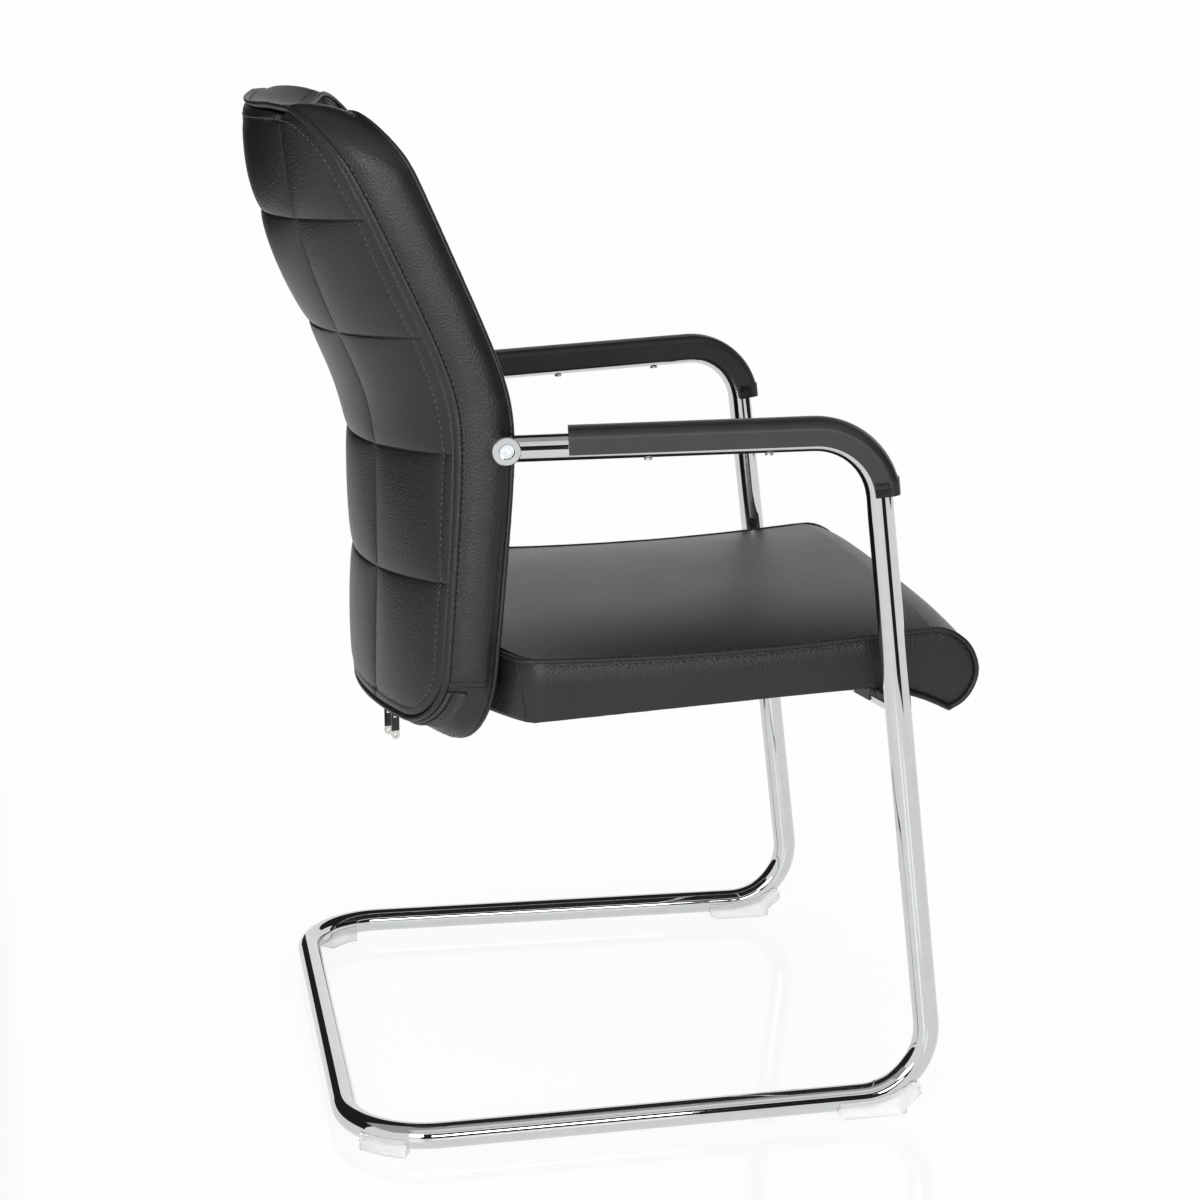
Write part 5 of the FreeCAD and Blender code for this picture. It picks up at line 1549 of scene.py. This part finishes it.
floor.name = "studio_floor"
floor.data.materials.append(floor_white)

# %% World and lamps
world = bpy.data.worlds.new("white_studio")
bpy.context.scene.world = world
world.use_nodes = True
background = world.node_tree.nodes["Background"]
background.inputs["Color"].default_value = hex_colour("#ffffff")
background.inputs["Strength"].default_value = 1.0


def soft_lamp(name, at, towards, size, brightness):
    """A sheet of light, width by height in metres, aimed at a point; brightness 1 is white."""
    deselect()
    bpy.ops.object.light_add(type="AREA", location=at)
    lamp = bpy.context.active_object
    lamp.name = name
    lamp.data.shape = "RECTANGLE"
    lamp.data.size, lamp.data.size_y = size
    lamp.data.energy = brightness * math.pi * size[0] * size[1]
    lamp.rotation_euler = (Vector(towards) - Vector(at)).to_track_quat("-Z", "Y").to_euler()
    return lamp


soft_lamp("lamp_over_camera_side", (-1.25, -0.1, 2.1), (0.0, 0.0, 0.5), (2.2, 1.2), 0.45)
soft_lamp("lamp_behind_left", (-2.2, 0.95, 0.95), (-0.2, 0.2, 0.75), (0.6, 0.9), 8.0)
soft_lamp("lamp_beside_camera", (-2.8, -0.2, 0.78), (-0.2, 0.0, 0.6), (1.1, 0.42), 9.0)

# %% Dark cards, seen only in reflections
def glowing_card(name, shade):
    """A card that glows as bright as the shade it is given, whatever light falls on it; it is no lamp."""
    material = bpy.data.materials.new(name)
    material.use_nodes = True
    tree = material.node_tree
    glow = add_node(tree, "ShaderNodeEmission", {"Color": hex_colour(shade), "Strength": 1.0})
    tree.links.new(glow.outputs["Emission"], tree.nodes["Material Output"].inputs["Surface"])
    return material


# Both cards glow at a set brightness though they are no lamps: black for the dark room, grey for a dim
# light overhead.
card_dark = glowing_card("black_glowing_card", "#262626")
card_grey = glowing_card("grey_glowing_card", "#b0b0b0")


def dark_card(name, corners, felt=card_dark):
    """Four-cornered card that only glossy rays can see."""
    mesh = bpy.data.meshes.new(name)
    mesh.from_pydata(corners, [], [tuple(range(len(corners)))])
    card = bpy.data.objects.new(name, mesh)
    bpy.context.scene.collection.objects.link(card)
    mesh.materials.append(felt)
    card.visible_camera = card.visible_diffuse = card.visible_shadow = False
    card.visible_transmission = card.visible_volume_scatter = False


def standing_card(name, start, end, low, high):
    """Upright card over a line on the floor."""
    (x0, y0), (x1, y1) = start, end
    dark_card(name, [(x0, y0, low), (x1, y1, low), (x1, y1, high), (x0, y0, high)])


CARD_HALF = 3.2


def level_card(name, near, far, z, felt):
    """Card overhead, from near to far along X."""
    corners = [(near, -CARD_HALF, z), (far, -CARD_HALF, z), (far, CARD_HALF, z), (near, CARD_HALF, z)]
    dark_card(name, corners, felt)


standing_card("card_behind_camera", (-4.5, -3.6), (-4.5, 1.4), 0.3, 3.0)
standing_card("card_right", (-3.2, -2.6), (1.2, -3.4), 0.25, 3.2)
standing_card("card_left", (-0.6, 3.2), (3.3, 0.75), 0.1, 3.2)
level_card("card_over_backdrop", 0.35, 3.6, 2.3, card_dark)
# The ceiling card glows grey and stands in for a dim sheet of light overhead, seen only in reflections.
level_card("card_ceiling", -2.6, 0.35, 2.35, card_grey)
standing_card("card_narrow", (-1.8, -0.45), (-1.6, -1.1), 0.0, 0.6)
